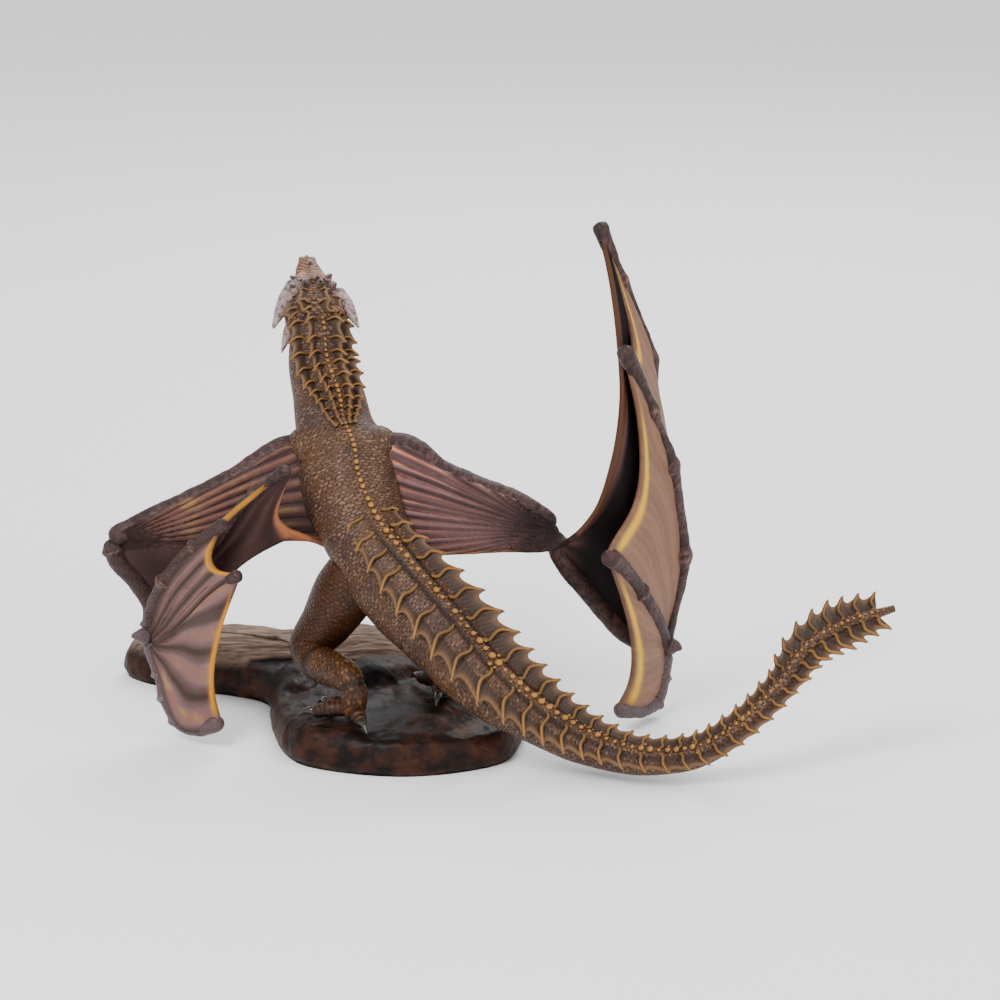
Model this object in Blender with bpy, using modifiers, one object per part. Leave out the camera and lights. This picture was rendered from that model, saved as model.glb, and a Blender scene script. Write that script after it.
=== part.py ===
"""A cast dragon statue: a two-legged wyvern that stands on a rock base, its tail swept out to one side.

Metres, +Z up. The dragon faces +Y and its right side is +X. The origin is on the underside of the base.
The dragon's body, its two wings and the base are four castings, bonded at a thin seam.
"""

import math

import bmesh
import bpy
from mathutils import Matrix, Vector, noise

# Driving sizes
STATUE_HEIGHT = 0.270
BASE_THICKNESS = 0.020
SEAM_GAP = 0.0003
MEMBRANE_THICKNESS = 0.0026
TAIL_CREST_THICKNESS = 0.0022
NECK_CREST_THICKNESS = 0.0020
PLEAT_DEPTH = 0.0016
BASE_EDGE_ROUNDING = 0.009
BASE_FOOT_SETBACK = 0.0025

# The pose is drawn in shares of the statue's height: one pose unit is a millimetre when it is 270 mm high
POSE_UNITS_HIGH = 270
UNIT = STATUE_HEIGHT / POSE_UNITS_HIGH
STANDING_LEVEL = 20

SPINE = [
    # x, y, z and radius, from the skull to the tip of the tail
    (-43, 67, 202, 11),
    (-42, 62, 195, 14),
    (-41, 57, 181, 16),
    (-36, 50, 165, 17.5),
    (-30, 40, 150, 21),
    (-27, 28, 136, 25),
    (-23, 16, 121, 24.5),
    (-14, 4, 103, 22),
    (1, -10, 84, 22.5),
    (22, -27, 64, 20),
    (45, -44, 44, 16.5),
    (70, -51, 27, 12.5),
    (96, -58, 16, 9.8),
    (122, -66, 12.5, 8),
    (149, -65, 15, 7),
    (171, -63, 29, 6),
    (189, -58, 47, 4.8),
    (203, -53, 66, 4.2),
    (223, -49, 77, 3.4),
    (245, -44, 83, 1.8),
]
# The way the back faces at a share of the spine's length
BACK_FACES = [
    (0.00, (0.30, -0.90, 0.30)),
    (0.18, (0.30, -0.86, 0.42)),
    (0.30, (0.20, -0.80, 0.58)),
    (0.40, (0.24, -0.62, 0.75)),
    (0.50, (0.31, -0.47, 0.83)),
    (0.64, (0.18, -0.50, 0.84)),
    (0.80, (-0.20, -0.62, 0.72)),
    (1.00, (-0.25, -0.72, 0.62)),
]
SPINE_SIDES = 14
SPINE_PER_SPAN = 3

HEAD = [
    # x, y, z, half width and half height
    (-43, 54, 198, 11, 10),
    (-43.5, 62, 202, 14.5, 13),
    (-44, 71, 204.5, 15.5, 12.5),
    (-45, 80, 208, 14, 11),
    (-46, 89, 211, 11, 9),
    (-47, 98, 214, 8.5, 7.2),
    (-48.5, 107, 216.5, 7.4, 6.2),
    (-49.5, 114, 218, 5.6, 4.6),
]
JAW = [
    (-43, 60, 191, 9, 8),
    (-43.5, 70, 190.5, 10.5, 7),
    (-44.5, 81, 193.5, 8.5, 5),
    (-46, 92, 197.5, 6.4, 3.8),
    (-47.5, 102, 201.5, 5.2, 3.2),
    (-49, 109, 205, 3.8, 2.4),
]
HORNS = [
    # foot, tip and foot radius
    ((-31, 72, 207), (-20.5, 57, 199.5), 5.2),
    ((-57, 72, 207), (-64.5, 57, 199), 5.2),
    ((-33, 66, 197), (-26, 54, 187), 3.4),
    ((-55, 66, 197), (-61, 54, 187), 3.4),
    ((-36, 78, 214), (-32, 69, 220), 3),
    ((-53, 78, 214), (-56.5, 69, 219.5), 3),
    ((-41, 78, 216), (-40, 69, 222), 2.8),
    ((-48.5, 78, 216), (-49, 69, 222), 2.8),
    ((-38, 88, 217), (-35, 81, 222), 2.4),
    ((-54, 88, 216), (-57, 81, 221), 2.4),
    ((-48, 105, 221), (-47.5, 99, 225), 2.2),
]
TEETH_AT = (94, 99, 104)
JAW_MIDDLE = -47.4
JAW_SLOPE = 0.35
TOOTH_SPREAD = 4.4
TOOTH_ROOT = 207.5
TOOTH_LENGTH = 6.5
TOOTH_RADIUS = 1.3

LEFT_LEG = [
    (-20, 0, 88, 15),
    (-28, 1, 76, 17.5),
    (-37, 4, 60, 14.5),
    (-45, 5, 47, 10.5),
    (-41, -6, 42, 9.5),
    (-33, -19, 43, 8.4),
    (-25, -32, 43.5, 7.4),
    (-21, -38, 37, 6.6),
    (-21, -37, 31, 6.2),
    (-22, -35, 26, 5.8),
]
RIGHT_LEG = [
    (2, 4, 86, 15),
    (10, 12, 76, 17.5),
    (18, 26, 62, 14.5),
    (25, 37, 49, 10.5),
    (25, 32, 43, 9.5),
    (23, 19, 42, 8.4),
    (21, 6, 43.5, 7.4),
    (20, 0, 37, 6.6),
    (21, 1, 31, 6.2),
    (22, 4, 26, 5.8),
]
# Headings in degrees from +X and lengths of the toes, then of the hind claw's toe
LEFT_TOES = [(168, 21), (128, 23), (92, 22), (292, 14)]
RIGHT_TOES = [(128, 20), (92, 23), (58, 22), (262, 13)]
TOE_RADIUS = 3.6
CLAW_LENGTH = 7.5
TOE_TOP = 4

RIGHT_ARM = [
    (-24, 30, 141, 9), (4, 28, 143.5, 8.4), (21, 24, 137, 7), (41, 18, 127.5, 5.8), (61, 12, 118, 5.2),
    (79, 8, 106, 5),
]
RIGHT_FOREARM = [(79, 8, 106, 5), (83, 10, 91, 5.4), (100, 20, 66, 5.2), (116, 28, 45, 5.2), (135, 34, 34, 6)]
RIGHT_FINGERS = [
    [(136, 37, 34, 5), (139, 38, 60, 4), (137, 34, 98, 3.6), (133, 28, 138, 3.4), (129, 20, 169, 3.4),
     (126, 12, 198, 3.6), (119.5, 6, 217, 3.2), (110.5, -2, 240.5, 3), (101, -10, 266.4, 3.6)],
    [(136, 34, 35, 5), (141, 32, 59, 4), (145, 26, 85.5, 4.6), (142, 18, 114.5, 3.6), (137.5, 10, 140.5, 4.2),
     (132, 2, 158.5, 3.2), (122.5, -10, 184, 3), (112, -25, 210, 3.4)],
    [(136, 34, 35, 5), (131, 16, 57, 4), (122, -2, 77.5, 3.6), (113, -16, 94, 3.2), (105, -30, 106, 3.6)],
    [(136, 34, 34, 6), (135, 30, 20, 5), (131, 25, 9, 5.4), (123, 13, 8, 4), (111, -1, 14, 4.4)],
]
RIGHT_THUMB = [(136, 34, 35, 6), (141, 30, 37, 4), (145.5, 27, 36.5, 0.8)]
RIGHT_TRAILING_EDGE = [
    (-4, 8, 94), (22, 2, 95.5), (52, -1, 98), (79, -5, 101), (98, -10, 121),
    (107, -14, 150), (111, -16, 181), (109.5, -15, 210), (106, -13, 237), (101, -11, 262),
]

LEFT_ARM = [
    (-34, 32, 140, 9), (-59, 30, 143, 8), (-82, 24, 129, 6.6), (-103, 19, 120, 5.8), (-125, 14, 111, 5.4),
    (-146, 10, 101, 5.2),
]
LEFT_FOREARM = [
    (-146, 10, 101, 5.2), (-141.5, 12, 88.5, 5.2), (-133, 13, 77.5, 5), (-126, 11, 66, 5), (-125, 6, 52, 6),
]
LEFT_FINGERS = [
    [(-125.5, 6, 50, 5), (-116, 6, 71, 4), (-98, 3, 93, 3.6), (-78, -6, 123, 3.4), (-64, -12, 137, 3.2),
     (-52.5, -17, 147, 3.6)],
    [(-125, 4, 52, 5), (-124, 0, 67, 4), (-116.5, -6, 84, 4.4), (-105.5, -12, 100, 3.4), (-96, -18, 110, 3.2),
     (-83.5, -26, 121.5, 3.6)],
    [(-124.5, 1, 50, 5), (-114, -6, 59, 4), (-103.5, -14, 71, 3.4), (-94.5, -22, 82.5, 3.4),
     (-86, -30, 91.5, 3.2), (-76, -38, 98.5, 3.8)],
    [(-125, 4, 50, 6), (-123.5, 0, 42, 5), (-120, -2, 32, 4.6), (-117, -4, 20.5, 5.4), (-110, -9, 9.5, 4.8),
     (-100.5, -15, 9, 4.6), (-88.5, -23, 15.5, 4.6)],
]
LEFT_THUMB = [(-126, 4, 51.5, 6), (-130, 0, 53.5, 3.6), (-135, -3, 54, 0.8)]
LEFT_TRAILING_EDGE = [
    (-28, 8, 94), (-34, 5, 98.5), (-41, 1, 103.5), (-48, -3, 108), (-55, -7, 113), (-59, -11, 122),
    (-52, -17, 144),
]

# Where each wing skin leaves the arm: shares of the way from shoulder to finger tip at elbow and wrist
ELBOW_SHARE = 0.36
WRIST_SHARE = 0.58
PLEAT_COUNT = 4
PANEL_HOLLOW = 0.30
# How far each arm skin hangs below the straight line from bone to edge; below zero it bellies up
SAG_START = 0.12
LEFT_WING_SAG = -4
RIGHT_WING_SAG = 3

TAIL_CREST_START = 0.345
TAIL_CREST_END = 0.985
TAIL_CREST_ANGLE = 40
TAIL_LEAF_ANGLE = 76
TAIL_LEAF_START = 0.80
NECK_CREST_ANGLES = (-72, -36, 36, 72)
NECK_CREST_END = 0.235
# How far the crests' spikes lean back, as a share of their height
TAIL_CREST_LEAN = 0.55
NECK_CREST_LEAN = 0.35
BEAD_SIZE = 2.6

BASE_OUTLINE = [
    # x and y of the rock's widest line, anticlockwise from the left side
    (-67, 12), (-64, -10), (-58, -30), (-46, -46), (-20, -57), (8, -60), (36, -53), (56, -39), (64, -14),
    (66, 18), (60, 50), (44, 76), (12, 92), (-28, 99), (-70, 102), (-110, 104), (-136, 102), (-150, 95),
    (-149, 84), (-136, 72), (-113, 61), (-91, 54), (-75, 45), (-68, 30),
]
# A point that sees the whole outline, and how far in towards it each ring of the top lies
BASE_MIDDLE = (-35, 62)
BASE_TOP_RINGS = (0.90, 0.80, 0.68, 0.56, 0.44, 0.32, 0.20, 0.09)
BASE_SIDES = 54
LUMPS = [
    # x, y, half length, half width, heading in degrees and height over the standing level
    (-92, 82, 64, 24, -3, 10),
    (-18, 80, 62, 23, -6, 11),
    (-10, 40, 24, 18, 20, 9),
    (40, 46, 26, 18, 70, 7),
    (-54, 34, 11, 20, 10, 5),
]
FLATS = [
    # x, y and radius of the places the feet stand on
    (-30, -30, 27),
    (24, 14, 27),
]


def at(x, y, z):
    """A point of the dragon, in metres, from pose units; it stands on the base, whatever that measures."""
    rise = (z - STANDING_LEVEL) * UNIT
    return Vector((x * UNIT, y * UNIT, BASE_THICKNESS + SEAM_GAP + rise))


def blend_rows(rows, share):
    """The row at a share of the way through a list of number rows, on one smooth curve."""
    last = len(rows) - 1
    place = min(max(share, 0.0), 1.0) * last
    first = min(int(place), last - 1)
    t = place - first
    near = [rows[min(max(first + step, 0), last)] for step in (-1, 0, 1, 2)]
    mixed = []
    for a, b, c, d in zip(*near):
        bend = 2 * a - 5 * b + 4 * c - d
        twist = 3 * b - a - 3 * c + d
        curve = 2 * b + (c - a) * t + bend * t ** 2 + twist * t ** 3
        mixed.append(curve / 2)
    return mixed


def clear_scene():
    for obj in list(bpy.data.objects):
        bpy.data.objects.remove(obj)


def collection(name, hidden=False):
    made = bpy.data.collections.new(name)
    bpy.context.scene.collection.children.link(made)
    made.hide_render = hidden
    return made


def material(name, colour, roughness):
    made = bpy.data.materials.new(name)
    made.use_nodes = True
    shader = made.node_tree.nodes["Principled BSDF"]
    shader.inputs["Base Color"].default_value = (*colour, 1.0)
    shader.inputs["Roughness"].default_value = roughness
    shader.inputs["Metallic"].default_value = 0.0
    return made


def form_object(name, mesh, forms):
    """A mesh object that only gives its shape to a node."""
    obj = bpy.data.objects.new(name, mesh)
    forms.objects.link(obj)
    obj.hide_render = True
    obj.display_type = "WIRE"
    return obj


def mesh_from(name, bm):
    mesh = bpy.data.meshes.new(name)
    bmesh.ops.recalc_face_normals(bm, faces=bm.faces)
    bm.to_mesh(mesh)
    bm.free()
    return mesh


def tube(name, stations, forms, resolution=2, per_span=3, grow=0.0):
    """A round limb whose radius changes along it: a curve with a bevel, made a mesh with its caps welded."""
    curve = bpy.data.curves.new(name, "CURVE")
    curve.dimensions = "3D"
    curve.bevel_depth = 1.0
    curve.bevel_resolution = resolution
    curve.use_fill_caps = True
    count = (len(stations) - 1) * per_span + 1
    line = curve.splines.new("POLY")
    line.points.add(count - 1)
    for i, point in enumerate(line.points):
        x, y, z, radius = blend_rows(stations, i / (count - 1))
        point.co = (*at(x, y, z), 1.0)
        point.radius = radius * UNIT + grow
    guide = bpy.data.objects.new(name + "_line", curve)
    forms.objects.link(guide)
    bpy.context.view_layer.update()
    drawn = guide.evaluated_get(bpy.context.evaluated_depsgraph_get())
    bm = bmesh.new()
    bm.from_mesh(bpy.data.meshes.new_from_object(drawn))
    bmesh.ops.remove_doubles(bm, verts=bm.verts, dist=1e-5)
    bpy.data.objects.remove(guide)
    return form_object(name, mesh_from(name, bm), forms)


def spine_frame(share):
    """Middle, radius and the ways along, up from and across the back, at a share of the spine."""
    x, y, z, radius = blend_rows(SPINE, share)
    middle = at(x, y, z)
    step = 0.01
    ahead = Vector(blend_rows(SPINE, share + step)[:3]) - Vector(blend_rows(SPINE, share - step)[:3])
    along = ahead.normalized()
    after = next(i for i, (stop, _) in enumerate(BACK_FACES) if stop >= min(share, 1.0))
    before = max(after - 1, 0)
    low, way_low = BACK_FACES[before]
    high, way_high = BACK_FACES[after]
    part = (share - low) / (high - low) if high > low else 0.0
    back = Vector(way_low).lerp(Vector(way_high), part)
    back = (back - along * back.dot(along)).normalized()
    return middle, radius * UNIT, along, back, along.cross(back)


def on_skin(share, degrees, depth=0.0):
    """A point of the body's skin at an angle from the middle of the back, and the way out there."""
    middle, radius, along, back, across = spine_frame(share)
    turn = math.radians(degrees)
    out = back * math.cos(turn) + across * math.sin(turn)
    return middle + out * (radius - depth), out, along


def crest_stops(start, end, first_step, last_step):
    """Shares of the spine where the spikes of a crest stand, closer together as the body thins."""
    stops = [start]
    while stops[-1] < end:
        part = (stops[-1] - start) / (end - start)
        stops.append(stops[-1] + first_step + (last_step - first_step) * part)
    return stops[:-1]


def crest(name, stops, angle_at, height_at, thickness, forms, lean=0.0, grow=0.0, roots=3.0):
    """A row of webbed spikes: a strip that rises to each spike's tip and dips in the web behind it."""
    bm = bmesh.new()
    column = []
    for i, stop in enumerate(stops):
        ahead = stops[i + 1] if i + 1 < len(stops) else stop + (stop - stops[i - 1])
        for part, share_of_height in ((0.0, 1.0), (0.42, 0.55)):
            share = stop + (ahead - stop) * part
            root, out, along = on_skin(share, angle_at(share), depth=roots * UNIT)
            height = height_at(stop) * share_of_height * UNIT
            tip = root + out * (height + roots * UNIT) + along * height * lean
            column.append((bm.verts.new(root), bm.verts.new(tip)))
    for (root, tip), (next_root, next_tip) in zip(column, column[1:]):
        bm.faces.new((root, next_root, next_tip, tip))
    obj = form_object(name, mesh_from(name, bm), forms)
    wall = obj.modifiers.new("thickness", "SOLIDIFY")
    wall.thickness = thickness + 2 * grow
    wall.offset = 0.0
    return obj


def tail_crest_height(share):
    """How far the tail's side crests stand out: most at the hips, little along the tail, most at its leaf."""
    at_hips = 6.5 * (1 - min(1, max(0, (share - 0.47) / 0.20))) + 4.2
    opening = min(1, max(0, (share - TAIL_CREST_START) / 0.06))
    leaf = max(0.0, 1 - abs(share - 0.925) / 0.075)
    return at_hips * (0.35 + 0.65 * opening) + 9.0 * leaf ** 0.7


def tail_crest_angle(share):
    """The tail's side crests stand near its back, and open out to a flat leaf at its end."""
    opening = min(1, max(0, (share - TAIL_LEAF_START) / 0.08))
    return TAIL_CREST_ANGLE + (TAIL_LEAF_ANGLE - TAIL_CREST_ANGLE) * opening


def neck_crest_height(share):
    """How far the neck's crests stand out, fading to nothing at the shoulders."""
    return 6.5 * math.sin(math.pi * min(1, share * 4.25 + 0.12))


def neck_crest_closing(share):
    """The neck's crests close on the middle of the back towards the shoulders."""
    part = min(1.0, max(0.0, share / NECK_CREST_END))
    return 1 - 0.8 * part ** 2


def spike(name, foot, tip, radius, forms, sides=5):
    """A claw, horn or bead: a cone from a foot point to a tip."""
    bm = bmesh.new()
    way = tip - foot
    turn = way.to_track_quat("Z", "Y").to_matrix().to_4x4()
    bmesh.ops.create_cone(
        bm, cap_ends=True, segments=sides, radius1=radius, radius2=radius * 0.12, depth=way.length,
        matrix=Matrix.Translation((foot + tip) / 2) @ turn,
    )
    return form_object(name, mesh_from(name, bm), forms)


def body_beads(forms):
    """The row of beads down the middle of the back."""
    made = []
    share = 0.03
    while share < 0.80:
        middle, radius, along, back, across = spine_frame(share)
        size = BEAD_SIZE * (0.75 + 0.5 * min(1, radius / (20 * UNIT))) * UNIT
        foot = middle + back * (radius - size * 0.8)
        tip = middle + back * (radius + size * 0.75) + along * size * 0.3
        made.append(spike("bead", foot, tip, size, forms, sides=4))
        share += 0.010 + 0.008 * min(1, radius / (20 * UNIT))
    return made


def foot_pieces(ankle, toes, forms):
    """Toes that lie on the base, each with its claw."""
    made = []
    for heading, length in toes:
        turn = math.radians(heading)
        way = Vector((math.cos(turn), math.sin(turn), 0.0))
        root = Vector((ankle[0], ankle[1], STANDING_LEVEL + TOE_RADIUS + TOE_TOP))
        knuckle = root + way * length * 0.55 - Vector((0, 0, TOE_TOP * 0.4))
        end = root + way * length - Vector((0, 0, TOE_TOP))
        stations = [(*root, TOE_RADIUS * 1.25), (*knuckle, TOE_RADIUS), (*end, TOE_RADIUS * 0.9)]
        made.append(tube("toe", stations, forms, resolution=1, per_span=2))
        nail = end - way * CLAW_LENGTH * 0.4
        tip = end + way * CLAW_LENGTH - Vector((0, 0, TOE_RADIUS * 0.7))
        made.append(spike("claw", at(*nail), at(*tip), TOE_RADIUS * 0.7 * UNIT, forms))
    return made


def loft(name, stations, forms, sides=14, per_span=2):
    """A closed form with oval sections along stations: a ball whose rings are moved onto them."""
    rings = (len(stations) - 1) * per_span + 1
    bm = bmesh.new()
    bmesh.ops.create_uvsphere(bm, u_segments=sides, v_segments=rings + 1, radius=1.0)
    for vert in bm.verts:
        ring = math.acos(min(1.0, max(-1.0, vert.co.z))) / math.pi * (rings + 1) - 1
        x, y, z, wide, high = blend_rows(stations, ring / (rings - 1))
        flat = Vector((vert.co.x, vert.co.y))
        round_way = flat.normalized() if flat.length > 1e-4 else Vector((0.0, 0.0))
        vert.co = at(x + round_way.x * wide, y, z + round_way.y * high)
    return form_object(name, mesh_from(name, bm), forms)


def head_pieces(forms):
    """Skull, open lower jaw, horns and teeth."""
    made = [loft("skull", HEAD, forms), loft("jaw", JAW, forms, sides=10)]
    for foot, tip, radius in HORNS:
        made.append(spike("horn", at(*foot), at(*tip), radius * UNIT, forms, sides=6))
    for y in TEETH_AT:
        for side in (-1, 1):
            x = JAW_MIDDLE + side * TOOTH_SPREAD
            foot = at(x, y, TOOTH_ROOT + (y - TEETH_AT[0]) * JAW_SLOPE)
            tip = foot - Vector((0, 0, TOOTH_LENGTH * UNIT))
            made.append(spike("tooth", foot, tip, TOOTH_RADIUS * UNIT, forms, sides=4))
    return made


def body_solid(forms):
    """Everything that is cast with the body, overlapping, ready to be made one."""
    trunk = tube("trunk", SPINE, forms, resolution=(SPINE_SIDES - 4) // 2, per_span=SPINE_PER_SPAN)
    pieces = [tube("left_leg", LEFT_LEG, forms, per_span=2), tube("right_leg", RIGHT_LEG, forms, per_span=2)]
    pieces += foot_pieces(LEFT_LEG[-1], LEFT_TOES, forms)
    pieces += foot_pieces(RIGHT_LEG[-1], RIGHT_TOES, forms)
    pieces += head_pieces(forms)
    pieces += tail_crests(forms)
    neck_stops = crest_stops(0.03, NECK_CREST_END, 0.0175, 0.014)
    for i, degrees in enumerate(NECK_CREST_ANGLES):

        def angle_at(share, degrees=degrees):
            return degrees * neck_crest_closing(share)

        shape = (neck_stops, angle_at, neck_crest_height, NECK_CREST_THICKNESS)
        pieces.append(crest(f"neck_crest_{i + 1}", *shape, forms, lean=NECK_CREST_LEAN))
    pieces += body_beads(forms)
    return trunk, pieces


def tail_crests(forms, grow=0.0):
    stops = crest_stops(TAIL_CREST_START, TAIL_CREST_END, 0.0225, 0.0135)
    made = []
    for side, turned in (("left", 1), ("right", -1)):

        def angle_at(share, turned=turned):
            return turned * tail_crest_angle(share)

        shape = (stops, angle_at, tail_crest_height, TAIL_CREST_THICKNESS)
        made.append(crest(f"{side}_tail_crest", *shape, forms, lean=TAIL_CREST_LEAN, grow=grow))
    return made


def arm_line(arm, forearm, finger, share):
    """A point of the wing's leading bones: shoulder to elbow, to wrist, to the first finger's tip."""
    if share < ELBOW_SHARE:
        return blend_rows(arm, share / ELBOW_SHARE)[:3]
    if share < WRIST_SHARE:
        return blend_rows(forearm, (share - ELBOW_SHARE) / (WRIST_SHARE - ELBOW_SHARE))[:3]
    return blend_rows(finger, (share - WRIST_SHARE) / (1 - WRIST_SHARE))[:3]


def skin(name, columns, rows, point_at, forms):
    """A wing skin: a grid wrapped on point_at(along, across), given its thickness."""
    bm = bmesh.new()
    bmesh.ops.create_grid(bm, x_segments=columns, y_segments=rows, size=0.5)
    for vert in bm.verts:
        vert.co = point_at(vert.co.x + 0.5, vert.co.y + 0.5)
    obj = form_object(name, mesh_from(name, bm), forms)
    wall = obj.modifiers.new("thickness", "SOLIDIFY")
    wall.thickness = MEMBRANE_THICKNESS
    wall.offset = 0.0
    return obj


def arm_skin(name, arm, forearm, finger, edge, sag, forms):
    """The skin between the body, the arm and the first finger, with pleats that run out to the elbow."""
    elbow = Vector(at(*arm[-1][:3]))

    def point_at(along, across):
        along = along * 0.985
        bone = at(*arm_line(arm, forearm, finger, along))
        rim = at(*blend_rows(edge, along))
        point = bone.lerp(rim, across)
        slack = min(1.0, max(0.0, (along - SAG_START) / (1 - SAG_START)))
        point.z -= sag * UNIT * math.sin(math.pi * across ** 1.5) * math.sin(math.pi * slack) ** 1.5
        reach = (point - elbow).length
        fade = min(1.0, reach / (60 * UNIT)) * math.sin(math.pi * across) ** 0.5
        if along < ELBOW_SHARE + 0.06:
            point.y += PLEAT_DEPTH * fade * math.cos(math.tau * PLEAT_COUNT * across)
        return point

    return skin(name, 18, 12, point_at, forms)


def finger_panel(name, first, second, forms):
    """The skin between two fingers, hollowed at its trailing edge."""

    def point_at(along, across):
        reach = 0.05 + 0.93 * along * (1 - PANEL_HOLLOW * 4 * across * (1 - across) * along)
        a = at(*blend_rows(first, reach)[:3])
        b = at(*blend_rows(second, reach)[:3])
        return a.lerp(b, across)

    return skin(name, 7, 4, point_at, forms)


def wing_solid(side, arm, forearm, fingers, edge, thumb, sag, forms):
    """One wing's bones and skins, overlapping, ready to be made one."""
    trunk = tube(side + "_upper_arm", arm, forms, resolution=2)
    pieces = [tube(side + "_forearm", forearm, forms, resolution=2)]
    for i, finger in enumerate(fingers):
        pieces.append(tube(f"{side}_finger_{i}", finger, forms, resolution=1, per_span=2))
    pieces.append(tube(side + "_thumb", thumb, forms, resolution=1, per_span=2))
    pieces.append(arm_skin(side + "_arm_skin", arm, forearm, fingers[0], edge, sag, forms))
    for i, (first, second) in enumerate(zip(fingers, fingers[1:])):
        pieces.append(finger_panel(f"{side}_panel_{i}", first, second, forms))
    return trunk, pieces


def wing_clearance(forms):
    """The body beside the wings, grown by the seam, which the wings are cut back from."""
    resolution = (SPINE_SIDES - 4) // 2
    sides = {"resolution": resolution, "per_span": SPINE_PER_SPAN}
    grown = [tube("trunk_clearance", SPINE, forms, **sides, grow=SEAM_GAP)]
    for name, leg in (("left", LEFT_LEG), ("right", RIGHT_LEG)):
        grown.append(tube(name + "_leg_clearance", leg[:4], forms, per_span=2, grow=SEAM_GAP))
    grown += tail_crests(forms, grow=SEAM_GAP)
    return grown


def outline_at(share):
    """A point of the base's outline and the way in from it, at a share of the way round."""
    closed = BASE_OUTLINE[-1:] + BASE_OUTLINE + BASE_OUTLINE[:2]
    spans = len(BASE_OUTLINE)

    def spot(part):
        return Vector(blend_rows(closed, (1 + part * spans) / (len(closed) - 1)))

    along = (spot(share + 0.004) - spot(share - 0.004)).normalized()
    return spot(share) * UNIT, Vector((-along.y, along.x))


def ground(x, y):
    """The height of the rock's top at a point: lumps over the standing level, flat where the feet are."""
    rise = 0.0
    for lump_x, lump_y, long, wide, heading, high in LUMPS:
        turn = math.radians(heading)
        dx, dy = x / UNIT - lump_x, y / UNIT - lump_y
        u = (dx * math.cos(turn) + dy * math.sin(turn)) / long
        v = (dy * math.cos(turn) - dx * math.sin(turn)) / wide
        rise = max(rise, high * max(0.0, 1 - (u * u + v * v) ** 1.5))
    rough = 1.6 * noise.noise(Vector((x, y, 0.0)) / (15 * UNIT)) - 1.6
    stands = min(1.0, min(math.hypot(x / UNIT - fx, y / UNIT - fy) / size for fx, fy, size in FLATS) ** 6)
    return BASE_THICKNESS + (rise + rough) * stands * UNIT


def base_solid(forms):
    """The rock: wall rings round the outline, then rings of the top drawn in towards its middle."""
    walls = [
        (BASE_FOOT_SETBACK, 0.0),
        (0.0, BASE_THICKNESS * 0.22),
        (BASE_EDGE_ROUNDING * 0.12, BASE_THICKNESS * 0.55),
        (BASE_EDGE_ROUNDING * 0.45, BASE_THICKNESS * 0.84),
    ]
    middle = Vector(BASE_MIDDLE) * UNIT
    rounded = [outline_at(i / BASE_SIDES) for i in range(BASE_SIDES)]
    bm = bmesh.new()
    rings = []
    for setback, height in walls:
        spots = [spot + inward * setback for spot, inward in rounded]
        rings.append([bm.verts.new((spot.x, spot.y, height)) for spot in spots])
    rims = [spot + inward * BASE_EDGE_ROUNDING for spot, inward in rounded]
    for size in (1.0, *BASE_TOP_RINGS):
        spots = [middle.lerp(rim, size) for rim in rims]
        rings.append([bm.verts.new((spot.x, spot.y, ground(spot.x, spot.y))) for spot in spots])
    for lower, upper in zip(rings, rings[1:]):
        for i in range(BASE_SIDES):
            j = (i + 1) % BASE_SIDES
            bm.faces.new((lower[i], lower[j], upper[j], upper[i]))
    bm.faces.new(rings[0])
    top = bm.verts.new((middle.x, middle.y, ground(middle.x, middle.y)))
    for i in range(BASE_SIDES):
        bm.faces.new((rings[-1][i], rings[-1][(i + 1) % BASE_SIDES], top))
    bmesh.ops.triangulate(bm, faces=bm.faces)
    return form_object("rock", mesh_from("rock", bm), forms), []


def joined(name, trunk, pieces, nodes, finish, cutters=()):
    """The node: its trunk joined with its pieces in one Boolean union, and cut back from its neighbours."""
    node = bpy.data.objects.new(name, trunk.data.copy())
    node.data.name = name
    nodes.objects.link(node)
    node.data.materials.clear()
    node.data.materials.append(finish)
    for operation, operands in (("UNION", pieces), ("DIFFERENCE", cutters)):
        if not operands:
            continue
        group = collection(f"{name}_{operation.lower()}", hidden=True)
        for operand in operands:
            group.objects.link(operand)
        step = node.modifiers.new(operation.lower(), "BOOLEAN")
        step.operand_type = "COLLECTION"
        step.collection = group
        step.operation = operation
        step.solver = "EXACT"
    return node


def main():
    clear_scene()
    nodes = collection("dragon_statue")
    forms = collection("forms", hidden=True)
    skin_finish = material("dragon_skin", (0.27, 0.16, 0.07), 0.55)
    wing_finish = material("wing_skin", (0.30, 0.19, 0.18), 0.5)
    rock_finish = material("rock", (0.11, 0.075, 0.055), 0.6)
    joined("dragon_body", *body_solid(forms), nodes, skin_finish)
    clearance = wing_clearance(forms)
    right = (RIGHT_ARM, RIGHT_FOREARM, RIGHT_FINGERS, RIGHT_TRAILING_EDGE, RIGHT_THUMB, RIGHT_WING_SAG)
    left = (LEFT_ARM, LEFT_FOREARM, LEFT_FINGERS, LEFT_TRAILING_EDGE, LEFT_THUMB, LEFT_WING_SAG)
    for side, shape in (("right", right), ("left", left)):
        joined(f"{side}_wing", *wing_solid(side, *shape, forms), nodes, wing_finish, clearance)
    joined("base", *base_solid(forms), nodes, rock_finish)


main()
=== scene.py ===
"""A cast and hand-painted dragon statue on its rock: scaled skin, crests, beads, wings, claws and rock.

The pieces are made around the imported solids, in metres, in the solids' own frame.
"""

import math
from collections import namedtuple

import bmesh
import bpy
from mathutils import Matrix, Vector, noise


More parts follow.
